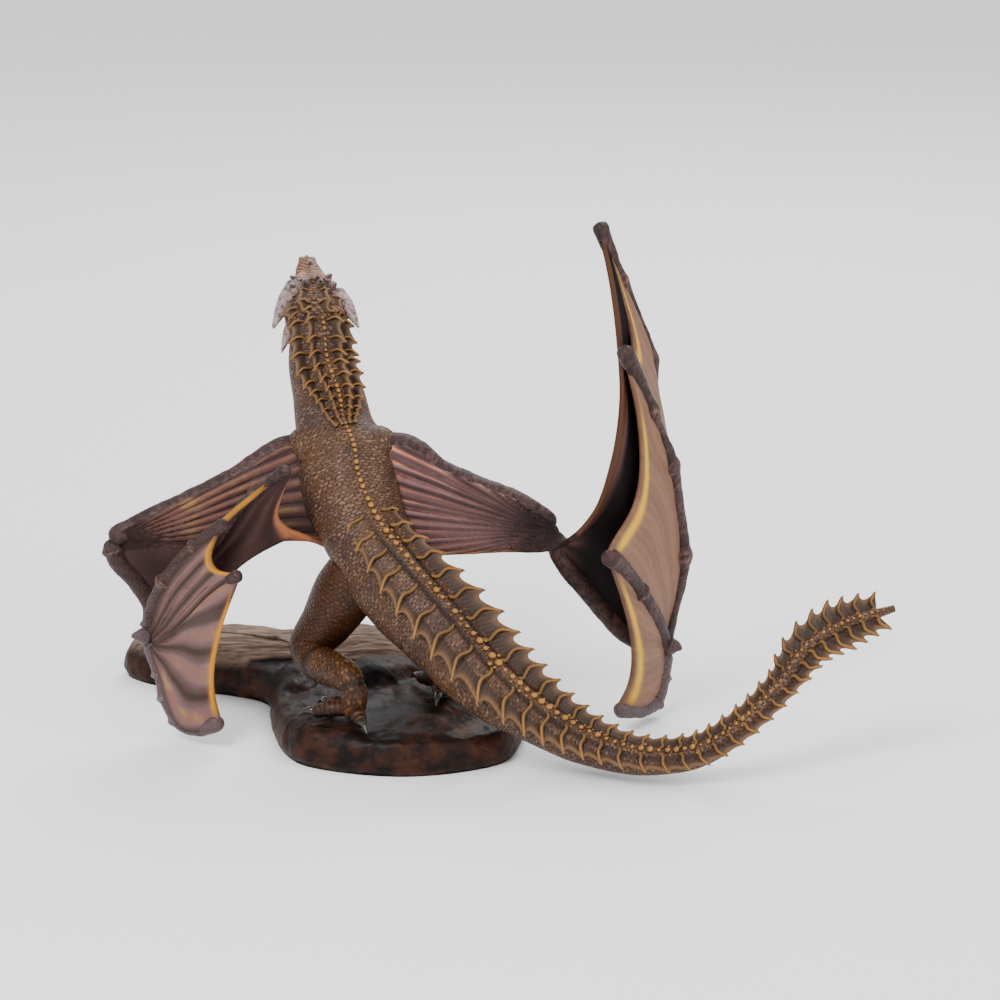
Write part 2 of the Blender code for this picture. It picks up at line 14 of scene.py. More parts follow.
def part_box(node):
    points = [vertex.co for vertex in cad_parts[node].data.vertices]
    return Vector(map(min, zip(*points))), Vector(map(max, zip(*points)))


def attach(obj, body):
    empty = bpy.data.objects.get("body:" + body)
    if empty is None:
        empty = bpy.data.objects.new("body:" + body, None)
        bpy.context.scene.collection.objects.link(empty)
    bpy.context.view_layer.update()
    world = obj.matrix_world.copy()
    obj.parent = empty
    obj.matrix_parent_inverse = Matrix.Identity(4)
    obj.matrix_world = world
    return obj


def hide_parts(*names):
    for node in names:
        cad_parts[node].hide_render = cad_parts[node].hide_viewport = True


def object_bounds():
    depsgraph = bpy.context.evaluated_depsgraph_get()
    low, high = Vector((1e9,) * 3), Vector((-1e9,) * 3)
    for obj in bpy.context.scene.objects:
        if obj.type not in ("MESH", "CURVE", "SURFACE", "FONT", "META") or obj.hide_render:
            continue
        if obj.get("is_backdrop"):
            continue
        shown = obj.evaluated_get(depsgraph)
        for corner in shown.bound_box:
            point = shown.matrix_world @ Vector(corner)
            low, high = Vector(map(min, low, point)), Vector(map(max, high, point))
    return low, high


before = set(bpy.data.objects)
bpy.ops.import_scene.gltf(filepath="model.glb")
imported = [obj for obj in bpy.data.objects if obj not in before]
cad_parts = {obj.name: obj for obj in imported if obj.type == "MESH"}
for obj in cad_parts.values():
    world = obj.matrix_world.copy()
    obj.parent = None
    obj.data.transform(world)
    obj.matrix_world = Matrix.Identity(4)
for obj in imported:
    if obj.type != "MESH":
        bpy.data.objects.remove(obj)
CAD_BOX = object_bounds()

bl_info = {
    "name": "Cast Dragon Statue",
    "version": (1, 0, 0),
    "blender": (4, 5, 0),
    "location": "View3D > Sidebar > Dragon",
    "description": "Models the painted skin, crests, wings and rock of a cast dragon statue",
    "category": "Add Mesh",
}

# The pose, in millimetres: x towards the dragon's right, y the way it faces, z up from the shelf
UNIT = 0.001
STANDING_LEVEL = 20
BASE_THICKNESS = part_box("base")[0].z + 0.020
SEAM_GAP = 0.0003

SPINE = [
    # x, y, z and radius, from the skull to the tip of the tail
    (-43, 67, 202, 11),
    (-42, 62, 195, 14),
    (-41, 57, 181, 16),
    (-36, 50, 165, 18.3),
    (-32.5, 40, 150, 19.8),
    (-27, 28, 136, 25),
    (-23, 16, 121, 24.5),
    (-14, 4, 103, 22),
    (1, -10, 84, 22.5),
    (22, -27, 64, 20),
    (45, -44, 44, 16.5),
    (70, -51, 27, 12.5),
    (96, -58, 16, 9.8),
    (122, -66, 12.5, 8),
    (149, -65, 15, 7),
    (171, -63, 29, 6),
    (189, -58, 47, 4.8),
    (203, -53, 66, 4.2),
    (223, -49, 77, 3.4),
    (245, -44, 83, 1.8),
]
# The way the back faces at a share of the spine's length
BACK_FACES = [
    (0.00, (0.30, -0.90, 0.30)),
    (0.18, (0.30, -0.86, 0.42)),
    (0.30, (0.20, -0.80, 0.58)),
    (0.40, (0.24, -0.62, 0.75)),
    (0.50, (0.31, -0.47, 0.83)),
    (0.64, (0.18, -0.50, 0.84)),
    (0.80, (-0.20, -0.62, 0.72)),
    (1.00, (-0.25, -0.72, 0.62)),
]

HEAD = [
    # x, y, z, half width and half height
    (-43, 54, 198, 11, 10),
    (-43.5, 62, 202, 14.5, 13),
    (-44, 71, 204.5, 15.5, 12.5),
    (-45, 80, 208, 14, 11),
    (-46, 89, 211, 11, 9),
    (-47, 98, 214, 8.5, 7.2),
    (-49, 107, 218, 6.4, 6),
    (-50, 114, 221, 3.6, 4),
]
JAW = [
    (-43, 60, 191, 9, 8),
    (-43.5, 70, 190.5, 10.5, 7),
    (-44.5, 81, 193.5, 8.5, 5),
    (-46, 92, 197.5, 6.4, 3.8),
    (-47.5, 102, 201.5, 5.2, 3.2),
    (-49, 109, 205, 3.8, 2.4),
]
HORNS = [
    # foot, tip and foot radius
    ((-31.5, 75, 210), (-20.5, 57, 199.5), 5.4),
    ((-54.5, 77, 213), (-64.5, 57, 199), 6.2),
    ((-33, 66, 197), (-26, 54, 187), 3.4),
    ((-55, 66, 198), (-60, 54, 187), 3.8),
    ((-36, 78, 214), (-32, 69, 220), 3),
    ((-53, 78, 214), (-56.5, 69, 219.5), 3),
    ((-41, 78, 216), (-40, 69, 222), 2.8),
    ((-48.5, 78, 216), (-49, 69, 222), 2.8),
    ((-38, 88, 217), (-35, 81, 222), 2.4),
    ((-54, 88, 216), (-57, 81, 221), 2.4),
    ((-48, 105, 221), (-47.5, 99, 225), 2.2),
]
TEETH_AT = (84, 89, 94, 99, 104)
JAW_MIDDLE = -47.4
JAW_SLOPE = 0.35
TOOTH_SPREAD = 4.6
TOOTH_ROOT = 207.5

LEFT_LEG = [
    (-20, 0, 88, 15),
    (-27, 1, 76, 16),
    (-36, 4, 60, 13.5),
    (-45, 5, 47, 10.5),
    (-41, -6, 42, 9.5),
    (-33, -19, 43, 8.4),
    (-25, -32, 43.5, 7.4),
    (-21, -38, 37, 6.6),
    (-21, -37, 31, 6.2),
    (-22, -35, 26, 5.8),
]
RIGHT_LEG = [
    (2, 4, 86, 15),
    (10, 12, 76, 17.5),
    (18, 26, 62, 14.5),
    (25, 37, 49, 10.5),
    (25, 32, 43, 9.5),
    (23, 19, 42, 8.4),
    (21, 6, 43.5, 7.4),
    (20, 0, 37, 6.6),
    (21, 1, 31, 6.2),
    (22, 4, 26, 5.8),
]
# Headings in degrees from +X and lengths of the toes, then of the hind claw's toe
LEFT_TOES = [(168, 21), (128, 23), (92, 22), (292, 14)]
RIGHT_TOES = [(128, 20), (92, 23), (58, 22), (262, 13)]
TOE_RADIUS = 3.6
CLAW_LENGTH = 7.5
TOE_TOP = 4

SHOULDERS = {
    # x, y, z and radius, from the trunk out to the wing
    "right_shoulder": [
        (-26, 28, 140, 16), (-16, 27, 143, 14.5), (-8, 27, 145.5, 12), (-1, 27, 144.5, 9.5),
    ],
    "left_shoulder": [(-34, 28, 140, 15), (-43, 29, 142, 14), (-50, 30, 143.5, 11.5), (-58, 30, 142, 8)],
}

# The wings' bones: x, y, z and radius, from the shoulder out
RIGHT_ARM = [
    (-24, 30, 141, 9), (3, 28, 143.8, 7.6), (21, 24, 133.2, 6.4), (41, 18, 126, 6), (61, 12, 119.5, 6),
    (79, 8, 107.5, 6.4),
]
RIGHT_FOREARM = [
    (79, 8, 106, 5), (83, 10, 91, 5.4), (100, 20, 66, 5.2), (116, 28, 45, 5.2), (135, 34, 34, 6),
]
RIGHT_FINGERS = [
    [
        (136, 37, 34, 5), (139, 38, 60, 4), (137, 34, 98, 3.6), (133, 28, 138, 3.4), (129, 20, 169, 3.4),
        (126, 12, 198, 3.6), (119.5, 6, 217, 3.2), (110, -2, 240.5, 3.4), (99, -11, 269, 4.2),
    ],
    [
        (136, 34, 35, 5), (141, 32, 59, 4), (145, 26, 85.5, 4.6), (142, 18, 114.5, 3.6),
        (137.5, 10, 140.5, 4.2), (132, 2, 158.5, 3.2), (122.5, -10, 184, 3.4), (111, -25, 210, 4.8),
    ],
    [(136, 34, 35, 5), (131, 16, 57, 4), (122, -2, 77.5, 3.8), (113, -16, 94, 4), (104.5, -30, 106, 5.2)],
    [(136, 34, 34, 6), (135, 30, 20, 5), (131, 25, 9, 5.4), (123, 13, 8, 4), (111, -1, 14, 4.4)],
]
RIGHT_THUMB = [(136, 34, 35, 6), (141, 30, 37, 4), (145.5, 27, 36.5, 0.8)]
RIGHT_TRAILING_EDGE = [
    (-4, 8, 94), (22, 2, 95.5), (52, -1, 98), (79, -5, 101), (98, -10, 121),
    (107, -14, 150), (111, -16, 181), (109.5, -15, 210), (106, -13, 237), (101, -11, 262),
]
LEFT_ARM = [
    (-34, 32, 140, 9), (-57, 30, 143, 7), (-82, 24, 129, 6.6), (-103, 19, 120, 5.8), (-125, 14, 111, 5.4),
    (-146, 10, 101, 5.2),
]
LEFT_FOREARM = [
    (-146, 10, 101, 5.2), (-141.5, 12, 88.5, 5.2), (-133, 13, 77.5, 5), (-126, 11, 66, 5),
    (-125, 6, 52, 6),
]
LEFT_FINGERS = [
    [
        (-125.5, 6, 50, 5), (-116, 6, 71, 4), (-98, 3, 93, 3.6), (-78, -6, 123, 3.4), (-64, -12, 137, 3.2),
        (-52.5, -17, 147, 3.6),
    ],
    [
        (-125, 4, 52, 5), (-124, 0, 67, 4), (-116.5, -6, 84, 4.4), (-105.5, -12, 100, 3.4),
        (-96, -18, 110, 3.2), (-83.5, -26, 121.5, 3.6),
    ],
    [
        (-124.5, 1, 50, 5), (-114, -6, 59, 4), (-103.5, -14, 71, 3.4), (-94.5, -22, 82.5, 3.4),
        (-86, -30, 91.5, 3.2), (-76, -38, 98.5, 3.8),
    ],
    [
        (-125, 4, 50, 6), (-123.5, 0, 42, 5), (-120, -2, 32, 4.6), (-117, -4, 20.5, 5.4),
        (-110, -9, 9.5, 4.8), (-100.5, -15, 9, 4.6), (-88.5, -23, 15.5, 4.6),
    ],
]
LEFT_THUMB = [(-126, 4, 51.5, 6), (-130, 0, 53.5, 3.6), (-135, -3, 54, 0.8)]
LEFT_TRAILING_EDGE = [
    (-28, 8, 94), (-34, 5, 98.5), (-41, 1, 103.5), (-48, -3, 108), (-55, -7, 113), (-59, -11, 122),
    (-52, -17, 144),
]
# Where each wing skin leaves the arm: shares of the way from shoulder to finger tip at elbow and wrist
ELBOW_SHARE = 0.36
WRIST_SHARE = 0.58
SAG_START = 0.12
ARM_SKIN_GRID = (160, 100)
PANEL_GRID = (84, 40)

# sag: how far the large skin sags, in mm
# rods: where each finger is swollen, in shares of its length, and how slim it is
# pocket: how dark the large skin is past the elbow, in its hollow: dark paint there, deepened as painted
# shade
# folds: how deep the panels' folds are; stripe: their bright line's distance from the edge and its width
# panels: how hollow each panel's edge is, and how far it covers the finger at each side
Wing = namedtuple("Wing", "side arm forearm fingers edge thumb sag rods pocket folds stripe panels")
WINGS = (
    Wing(
        "right", RIGHT_ARM, RIGHT_FOREARM, RIGHT_FINGERS, RIGHT_TRAILING_EDGE, RIGHT_THUMB, sag=3,
        rods=(((0.3, 0.6, 0.86), 0.80), ((0.3, 0.57, 0.8), 0.86), ((0.5,), 1.0), ((0.25, 0.5), 0.95)),
        pocket=1.0, folds=0.12, stripe=(0.0058, 0.0028),
        panels=((0.12, (0.9, 0.0)), (0.22, (0.0, 0.0)), (0.26, (0.2, 0.5))),
    ),
    Wing(
        "left", LEFT_ARM, LEFT_FOREARM, LEFT_FINGERS, LEFT_TRAILING_EDGE, LEFT_THUMB, sag=-4,
        rods=(((0.4, 0.7), 0.80), ((0.4, 0.7), 0.95), ((), 0.60), ((0.3, 0.48, 0.62), 0.85)),
        pocket=0.35, folds=0.75, stripe=(0.0010, 0.0016),
        panels=((0.30, (0.0, 0.0)), (0.20, (0.3, 1.0)), (0.12, (1.0, 0.9))),
    ),
)

TAIL_CREST_START = 0.358
TAIL_CREST_END = 0.985
TAIL_LEAF_START = 0.80
# Shares of the spine from one crest spine to the next, at the crest's start and at its end
TAIL_CREST_STEPS = (0.0220, 0.0155)
NECK_CREST_STEPS = (0.0350, 0.0155)
# Where a crest is rooted and which way it stands, in degrees from the middle of the back
TAIL_CREST_ANGLES = ((26, 100), (-20, -68))
TAIL_LEAF_ANGLES = (66, 82)
NECK_CREST_ANGLES = ((-40, -84), (-11, -50), (11, 54), (41, 92))
# Shares of the spine below 0 run forward over the skull
NECK_CREST_START = -0.088
NECK_CREST_END = 0.235
SKULL_RUN = 4.3
SKULL_JOIN = 0.025
WEB_DIP = 0.34

# How deep the crests are rooted in the skin, in metres
CREST_ROOTS = 0.0025

# Radius and spacing of the beads down the back, at even steps from the brow to the tail's tip
BEADS = [
    (0.9, 2.5), (1.15, 2.9), (1.3, 2.8), (1.5, 3.3), (1.9, 4.7), (1.9, 4.7), (1.5, 4.2), (1.2, 3.6),
    (0.9, 3.0),
]
BEADS_START = -0.10
TAIL_BEADS_START = 0.38

BASE_OUTLINE = [
    # x and y of the rock's widest line, anticlockwise from the left side
    (-67, 12), (-64, -10), (-58, -30), (-46, -46), (-20, -57), (8, -60), (36, -53), (56, -39), (64, -14),
    (66, 18), (60, 50), (44, 76), (12, 92), (-28, 99), (-70, 102), (-110, 104), (-136, 102), (-150, 95),
    (-149, 84), (-136, 72), (-113, 61), (-91, 54), (-75, 45), (-68, 30),
]
BASE_MIDDLE = (-35, 62)
BASE_EDGE_ROUNDING = 0.009
BASE_FOOT_SETBACK = 0.0025
LUMPS = [
    # x, y, half length, half width, heading in degrees, height over the standing level
    (-92, 82, 64, 24, -3, 10),
    (-18, 80, 62, 23, -6, 11),
    (-10, 40, 24, 18, 20, 9),
    (40, 46, 26, 18, 70, 7),
    (-54, 34, 11, 20, 10, 5),
]
LOGS = LUMPS[:2]
FLATS = [
    # x, y and radius of the places the feet stand on
    (-30, -30, 27),
    (24, 14, 27),
]

# The camera that the statue is seen by
VIEW_TARGET = Vector((0.0515, 0.0, 0.1255))
VIEW_ELEVATION = math.radians(17)
VIEW_DISTANCE = 1.6
VIEW_LENS = 115.2

FLOOR_REACH = 30.0
SKY_STRENGTH = 1.15
# Name, place, size in metres and power in watts
LIGHTS = (
    ("key", (-0.7, -1.1, 1.5), 0.7, 30),
    ("fill", (1.3, -0.9, 0.9), 1.1, 12),
    ("rim", (0.3, 1.2, 1.3), 0.9, 16),
)

# The seed of the wander in the rows of scales, so that every run makes the same ones
SCALE_SEED = 7

# Points of a bent grid closer than this, in metres, are one
WELD = 1e-6

Stop = namedtuple("Stop", "share travelled middle radius along back across")


def at(x, y, z):
    """A point of the dragon, in metres, from its pose in millimetres."""
    return Vector((x * UNIT, y * UNIT, BASE_THICKNESS + SEAM_GAP + (z - STANDING_LEVEL) * UNIT))


def blend_rows(rows, share):
    """The row at a share of the way through a list of number rows, on one smooth curve."""
    last = len(rows) - 1
    place = min(max(share, 0.0), 1.0) * last
    first = min(int(place), last - 1)
    t = place - first
    near = [rows[min(max(first + step, 0), last)] for step in (-1, 0, 1, 2)]
    mixed = []
    for a, b, c, d in zip(*near):
        curve = 2 * b + (c - a) * t + (2 * a - 5 * b + 4 * c - d) * t ** 2 + (3 * b - a - 3 * c + d) * t ** 3
        mixed.append(curve / 2)
    return mixed


def ease(value, low, high):
    """0 before low, 1 past high, smooth between."""
    part = min(1.0, max(0.0, (value - low) / (high - low)))
    return part * part * (3 - 2 * part)


def bell(value, middle, width):
    """A smooth bump of height 1 round a middle."""
    return math.exp(-((value - middle) / width) ** 2)


def rough(point, size, octaves=3):
    """Cloudy noise from -1 to 1, with lumps of a size in metres."""
    return noise.fractal(point / size, 0.6, 2.0, octaves)


def spine_frame(share):
    """Middle, radius and the ways along, up from and across the back, at a share of the spine."""
    x, y, z, radius = blend_rows(SPINE, share)
    step = 0.01
    ahead = Vector(blend_rows(SPINE, share + step)[:3]) - Vector(blend_rows(SPINE, share - step)[:3])
    along = ahead.normalized()
    after = next(i for i, (stop, _) in enumerate(BACK_FACES) if stop >= min(share, 1.0))
    before = max(after - 1, 0)
    low, way_low = BACK_FACES[before]
    high, way_high = BACK_FACES[after]
    part = (share - low) / (high - low) if high > low else 0.0
    back = Vector(way_low).lerp(Vector(way_high), part)
    back = (back - along * back.dot(along)).normalized()
    return at(x, y, z), radius * UNIT, along, back, along.cross(back)


def on_skull(share, degrees, depth):
    """A point of the skull's skin, whose shares run back from the brow, below 0, to 0 at the neck."""
    spot, step = max(0.0, -share * SKULL_RUN), 0.01
    x, y, z, wide, high = blend_rows(HEAD, spot)
    behind = Vector(blend_rows(HEAD, spot - step)[:3]) - Vector(blend_rows(HEAD, spot + step)[:3])
    turn = math.radians(90 + degrees)
    out = Vector((math.cos(turn), 0.0, math.sin(turn)))
    return at(x + out.x * wide, y, z + out.z * high) - out * depth, out, behind.normalized()


def on_skin(share, degrees, depth=0.0):
    """A point of the skin at an angle from the middle of the back, and the ways out and along there."""
    middle, radius, along, back, across = spine_frame(max(0.0, share))
    turn = math.radians(degrees)
    out = back * math.cos(turn) + across * math.sin(turn)
    on_body = (middle + out * (radius - depth), out, along)
    if share > SKULL_JOIN:
        return on_body
    part = ease(share, -SKULL_JOIN, SKULL_JOIN)
    return tuple(a.lerp(b, part) for a, b in zip(on_skull(share, degrees, depth), on_body))


def even_shares(rows, count, start=0.0, end=1.0):
    """Shares of a line of rows, from start to end, that lie evenly spaced along it."""
    fine = 40 * len(rows)
    shares = [start + (end - start) * i / fine for i in range(fine + 1)]
    spots = [Vector(blend_rows(rows, share)[:3]) for share in shares]
    lengths = [0.0]
    for a, b in zip(spots, spots[1:]):
        lengths.append(lengths[-1] + (b - a).length)
    even = []
    step = 0
    for i in range(count):
        goal = lengths[-1] * i / (count - 1)
        while step < fine - 1 and lengths[step + 1] < goal:
            step += 1
        span = lengths[step + 1] - lengths[step]
        part = (goal - lengths[step]) / span if span > 0 else 0.0
        even.append(shares[step] + (shares[step + 1] - shares[step]) * min(1.0, part))
    return even


def spine_line(count, start, end, travelled=0.0):
    """Stops along the body from skull to tail, each with its ways along, up and across."""
    line = []
    for share in even_shares(SPINE, count, start, end):
        middle, radius, along, back, across = spine_frame(share)
        if line:
            travelled += (middle - line[-1].middle).length
        line.append(Stop(share, travelled, middle, radius, along, back, across))
    return line


def limb_line(rows, count, rounded=(False, False), first_back=(0.0, -1.0, 0.2)):
    """Stops along a limb, turned as little as can be from one to the next, with round ends where asked."""
    shares = even_shares(rows, count)
    values = [blend_rows(rows, share) for share in shares]
    middles = [at(*value[:3]) for value in values]
    lengths = [0.0]
    for a, b in zip(middles, middles[1:]):
        lengths.append(lengths[-1] + (b - a).length)
    line = []
    back = Vector(first_back)
    for i, share in enumerate(shares):
        along = (middles[min(i + 1, count - 1)] - middles[max(i - 1, 0)]).normalized()
        back = (back - along * back.dot(along)).normalized()
        radius = values[i][3] * UNIT
        for is_round, run in zip(rounded, (lengths[i], lengths[-1] - lengths[i])):
            if is_round and run < radius:
                radius *= math.sqrt(max(0.0004, 1 - (1 - run / radius) ** 2))
        line.append(Stop(share, lengths[i], middles[i], radius, along, back, along.cross(back)))
    return line


class ScaleRows:
    """Rows of overlapping scales round a limb, staggered, with as many to a row as its girth takes."""

    def __init__(self, line, length, width):
        noise.seed_set(SCALE_SEED)
        self.length = length
        self.counts = {}
        for stop in line:
            row = math.floor(stop.travelled / length)
            self.counts.setdefault(row, max(6, round(math.tau * stop.radius / width)))

    def at(self, stop, turn, point):
        """How high the scales stand there, from 0 in a groove to 1, and a random tone for each scale."""
        drift = noise.noise_vector(point / (self.length * 2.6))
        place = stop.travelled / self.length + 0.75 * drift.x
        first = math.floor(place)
        best, tone = 0.0, 0.5
        for row in (first - 1, first):
            count = self.counts.get(row, self.counts.get(row + 1, 6))
            column = turn / math.tau * count + 0.5 * (row % 2) + 0.5 * drift.y
            side = 2 * (column - math.floor(column)) - 1
            run = (place - row) / (1.45 * (1 - 0.24 * side * side))
            if run >= 1.0:
                continue
            high = (1 - 0.75 * side ** 6) * (0.2 + 0.8 * run) * (1 - run ** 7)
            if high * 1.2 > best:
                best = min(1.0, high * 1.2)
                tone = noise.cell(Vector((row * 1.7, math.floor(column) % count + 0.5, 3.1)))
        return best, tone


def new_bmesh():
    """An empty bmesh with the two layers that the painted finishes read."""
    bm = bmesh.new()
    bm.verts.layers.float.new("relief")
    bm.verts.layers.float.new("tone")
    return bm


def paint_layers(bm):
    """The relief and tone layers of a bmesh."""
    return bm.verts.layers.float["relief"], bm.verts.layers.float["tone"]


def bent_grid(bm, rings, sides):
    """Adds a grid that is to be bent round: yields each vertex with its ring and its turn, from -pi to pi.

    Rings 0 and rings + 1 are to be drawn together, and the grid's two sides to meet.
    """
    bmesh.ops.create_grid(bm, x_segments=sides, y_segments=rings + 1, size=0.5)
    for vert in bm.verts:
        yield vert, round((vert.co.y + 0.5) * (rings + 1)), (vert.co.x + 0.5) * math.tau - math.pi


def drape(line, sides, surface):
    """A closed limb along the stops of a line, as a bmesh.

    surface(stop, turn, point) gives how far the skin stands out, its relief from 0 to 1 and its tone.
    """
    bm = new_bmesh()
    relief, tones = paint_layers(bm)
    rings = len(line)
    for vert, ring, turn in bent_grid(bm, rings, sides):
        stop = line[min(max(ring - 1, 0), rings - 1)]
        if ring in (0, rings + 1):
            vert.co = stop.middle
            continue
        out = stop.back * math.cos(turn) + stop.across * math.sin(turn)
        point = stop.middle + out * stop.radius
        rise, vert[relief], vert[tones] = surface(stop, turn, point)
        vert.co = point + out * rise
    bmesh.ops.remove_doubles(bm, verts=bm.verts, dist=WELD)
    return bm


def pour_in(whole, part):
    """Adds one bmesh to another, which is quick however large it has grown, and frees it."""
    carrier = bpy.data.meshes.new("carrier")
    part.to_mesh(carrier)
    part.free()
    whole.from_mesh(carrier)
    bpy.data.meshes.remove(carrier)


def finished(name, bm, finish, slot, *nodes):
    """Makes a bmesh a piece of the statue that stands for the named CAD solids."""
    bmesh.ops.recalc_face_normals(bm, faces=bm.faces)
    for face in bm.faces:
        face.smooth = True
    mesh = bpy.data.meshes.new(name)
    bm.to_mesh(mesh)
    bm.free()
    mesh.materials.append(finish)
    piece = bpy.data.objects.new(name, mesh)
    bpy.context.scene.collection.objects.link(piece)
    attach(piece, "root")
    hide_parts(*nodes)
    return piece


def body_piece(name, bm, finish):
    """A piece of the dragon's body."""
    return finished(name, bm, finish, "dragon_body", "dragon_body")


def thickened(piece, thickness):
    """Gives a sheet its thickness, half to each side."""
    wall = piece.modifiers.new("thickness", "SOLIDIFY")
    wall.thickness = thickness
    wall.offset = 0.0
    return piece


class Value:
    """A number in a material, so that its maths reads as plain arithmetic."""

    def __init__(self, tree, socket):
        self.tree = tree
        self.socket = socket

    def math(self, operation, first, second=None, clamp=False):
        node = self.tree.nodes.new("ShaderNodeMath")
        node.operation = operation
        node.use_clamp = clamp
        for socket, value in zip(node.inputs, (first, second)):
            if isinstance(value, Value):
                self.tree.links.new(value.socket, socket)
            elif value is not None:
                socket.default_value = value
        return Value(self.tree, node.outputs[0])

    def __add__(self, other):
        return self.math("ADD", self, other)

    def __sub__(self, other):
        return self.math("SUBTRACT", self, other)

    def __mul__(self, other):
        return self.math("MULTIPLY", self, other)

    def __rsub__(self, other):
        return self.math("SUBTRACT", other, self)

    __radd__ = __add__
    __rmul__ = __mul__

    def clamped(self):
        return self.math("ADD", self, 0.0, clamp=True)

    def step(self, low, high):
        """0 below low and 1 above high, in a straight run between."""
        return ((self - low) * (1 / (high - low))).clamped()


class Finish:
    """A material that is being mixed: one Principled shader and the nodes that feed it."""

    def __init__(self, name, roughness, coat=0.0, shine=0.22):
        self.material = bpy.data.materials.new(name)
        self.material.use_nodes = True
        self.tree = self.material.node_tree
        self.shader = self.tree.nodes["Principled BSDF"]
        self.shader.inputs["Roughness"].default_value = roughness
        self.shader.inputs["Specular IOR Level"].default_value = shine
        self.shader.inputs["Coat Weight"].default_value = coat
        self.shader.inputs["Coat Roughness"].default_value = 0.25
        self.place = self.node("ShaderNodeTexCoord").outputs["Object"]

    def node(self, kind, settings=None, sockets=None):
        """Adds a node: its settings first, then the values or links of its sockets."""
        made = self.tree.nodes.new(kind)
        for name, value in (settings or {}).items():
            setattr(made, name, value)
        for name, value in (sockets or {}).items():
            self.feed(made.inputs[name], value)
        return made

    def feed(self, socket, value):
        if isinstance(value, Value):
            self.tree.links.new(value.socket, socket)
        elif isinstance(value, bpy.types.NodeSocket):
            self.tree.links.new(value, socket)
        else:
            socket.default_value = value

    def value(self, socket):
        return Value(self.tree, socket)

    def painted(self, name):
        """A number kept on the mesh, such as how high the scales stand there."""
        return self.value(self.node("ShaderNodeAttribute", {"attribute_name": name}).outputs["Fac"])

    def cloud(self, size, detail=3.0, stretch=(1.0, 1.0, 1.0), turn=(0.0, 0.0, 0.0)):
        """Cloudy noise, with lumps of a size in metres."""
        sockets = {"Vector": self.place, "Rotation": turn, "Scale": stretch}
        spot = self.node("ShaderNodeMapping", None, sockets)
        sockets = {"Vector": spot.outputs["Vector"], "Scale": 1 / size, "Detail": detail, "Roughness": 0.6}
        return self.value(self.node("ShaderNodeTexNoise", None, sockets).outputs["Fac"])

    def pebbles(self, size, stretch=(1.0, 1.0, 1.0)):
        """Close-set pebbles, from 0 at their middles to about 1 between them."""
        spot = self.node("ShaderNodeMapping", None, {"Vector": self.place, "Scale": stretch})
        sockets = {"Vector": spot.outputs["Vector"], "Scale": 1 / size}
        return self.value(self.node("ShaderNodeTexVoronoi", None, sockets).outputs["Distance"])

    def along_y(self):
        """How far towards the statue's front, in metres."""
        return self.value(self.node("ShaderNodeSeparateXYZ", None, {"Vector": self.place}).outputs["Y"])

    def mix(self, share, low, high):
        """A colour between two others."""
        made = self.node("ShaderNodeMix", {"data_type": "RGBA"})
        self.feed(made.inputs[0], share)
        for socket, colour in ((made.inputs[6], low), (made.inputs[7], high)):
            self.feed(socket, (*colour, 1.0) if isinstance(colour, (tuple, list)) else colour)
        return made.outputs[2]

    def colour(self, value):
        self.feed(self.shader.inputs["Base Color"], value)

    def roughness(self, value):
        self.feed(self.shader.inputs["Roughness"], value)

    def relief(self, height, depth):
        """Fine relief, in metres for a height of 1."""
        bump = self.node("ShaderNodeBump", None, {"Height": height, "Distance": depth, "Strength": 1.0})
        self.feed(self.shader.inputs["Normal"], bump.outputs["Normal"])


def tint(colour):
    """A colour property's red, green and blue as a plain tuple."""
    return tuple(colour)[:3]


# Where along the head, in metres, its hide gives way to the tan of the snout
SNOUT_FADE = (0.074, 0.088)


def scale_finish(name, recess, middle, crown, warm, roughness=0.5, snout=None):
    """Painted scales: a dark wash in the grooves, darkened further as their painted shade, brown sides and
    dry-brushed crowns.

    The finish of the snout, if given as its brown and its crowns, takes over towards the front of the head.
    """
    finish = Finish(name, roughness, coat=0.04)
    relief = finish.painted("relief")
    tone = finish.painted("tone")
    patches = finish.cloud(0.022, 4.0)
    grain = finish.cloud(0.0011, 2.0)
    grit = finish.pebbles(0.0009)
    brown = finish.mix(patches.step(0.38, 0.62), middle, warm)
    if snout:
        front = finish.along_y().step(*SNOUT_FADE)
        brown = finish.mix(front, brown, snout[0])
        crown = finish.mix(front, crown, snout[1])
    # Painted shade: low relief, in the grooves, mixes towards the recess colour, which is partly the real
    # dark wash and partly the shade that falls there.
    low = finish.mix(relief.step(0.22, 0.78), recess, brown)
    brushed = (relief.step(0.55, 0.98) * (0.35 + tone * 0.65) * (0.45 + patches * 0.9)).clamped()
    worn = (brushed * (0.7 + grain * 0.55)).clamped()
    finish.colour(finish.mix(worn, low, crown))
    finish.roughness(roughness + 0.22 * (1 - relief) - 0.08 * patches)
    finish.relief(relief * 0.5 + grain * 0.5 - grit * 0.5, 0.00035)
    return finish.material


def horn_finish(name, root, tip, streak):
    """Horn and bone: fine streaks along it and a paler, worn crown."""
    finish = Finish(name, 0.42, coat=0.15)
    relief = finish.painted("relief")
    streaks = finish.cloud(0.0016, 3.0, stretch=(1.0, 0.35, 1.0))
    patches = finish.cloud(0.012)
    body = finish.mix((relief * 0.7 + patches * 0.5 - 0.1).clamped(), root, tip)
    finish.colour(finish.mix((streaks.step(0.47, 0.64) * (1.5 - patches)).clamped() * 0.8, body, streak))
    finish.roughness(0.36 + 0.2 * streaks)
    finish.relief(streaks, 0.0003)
    return finish.material


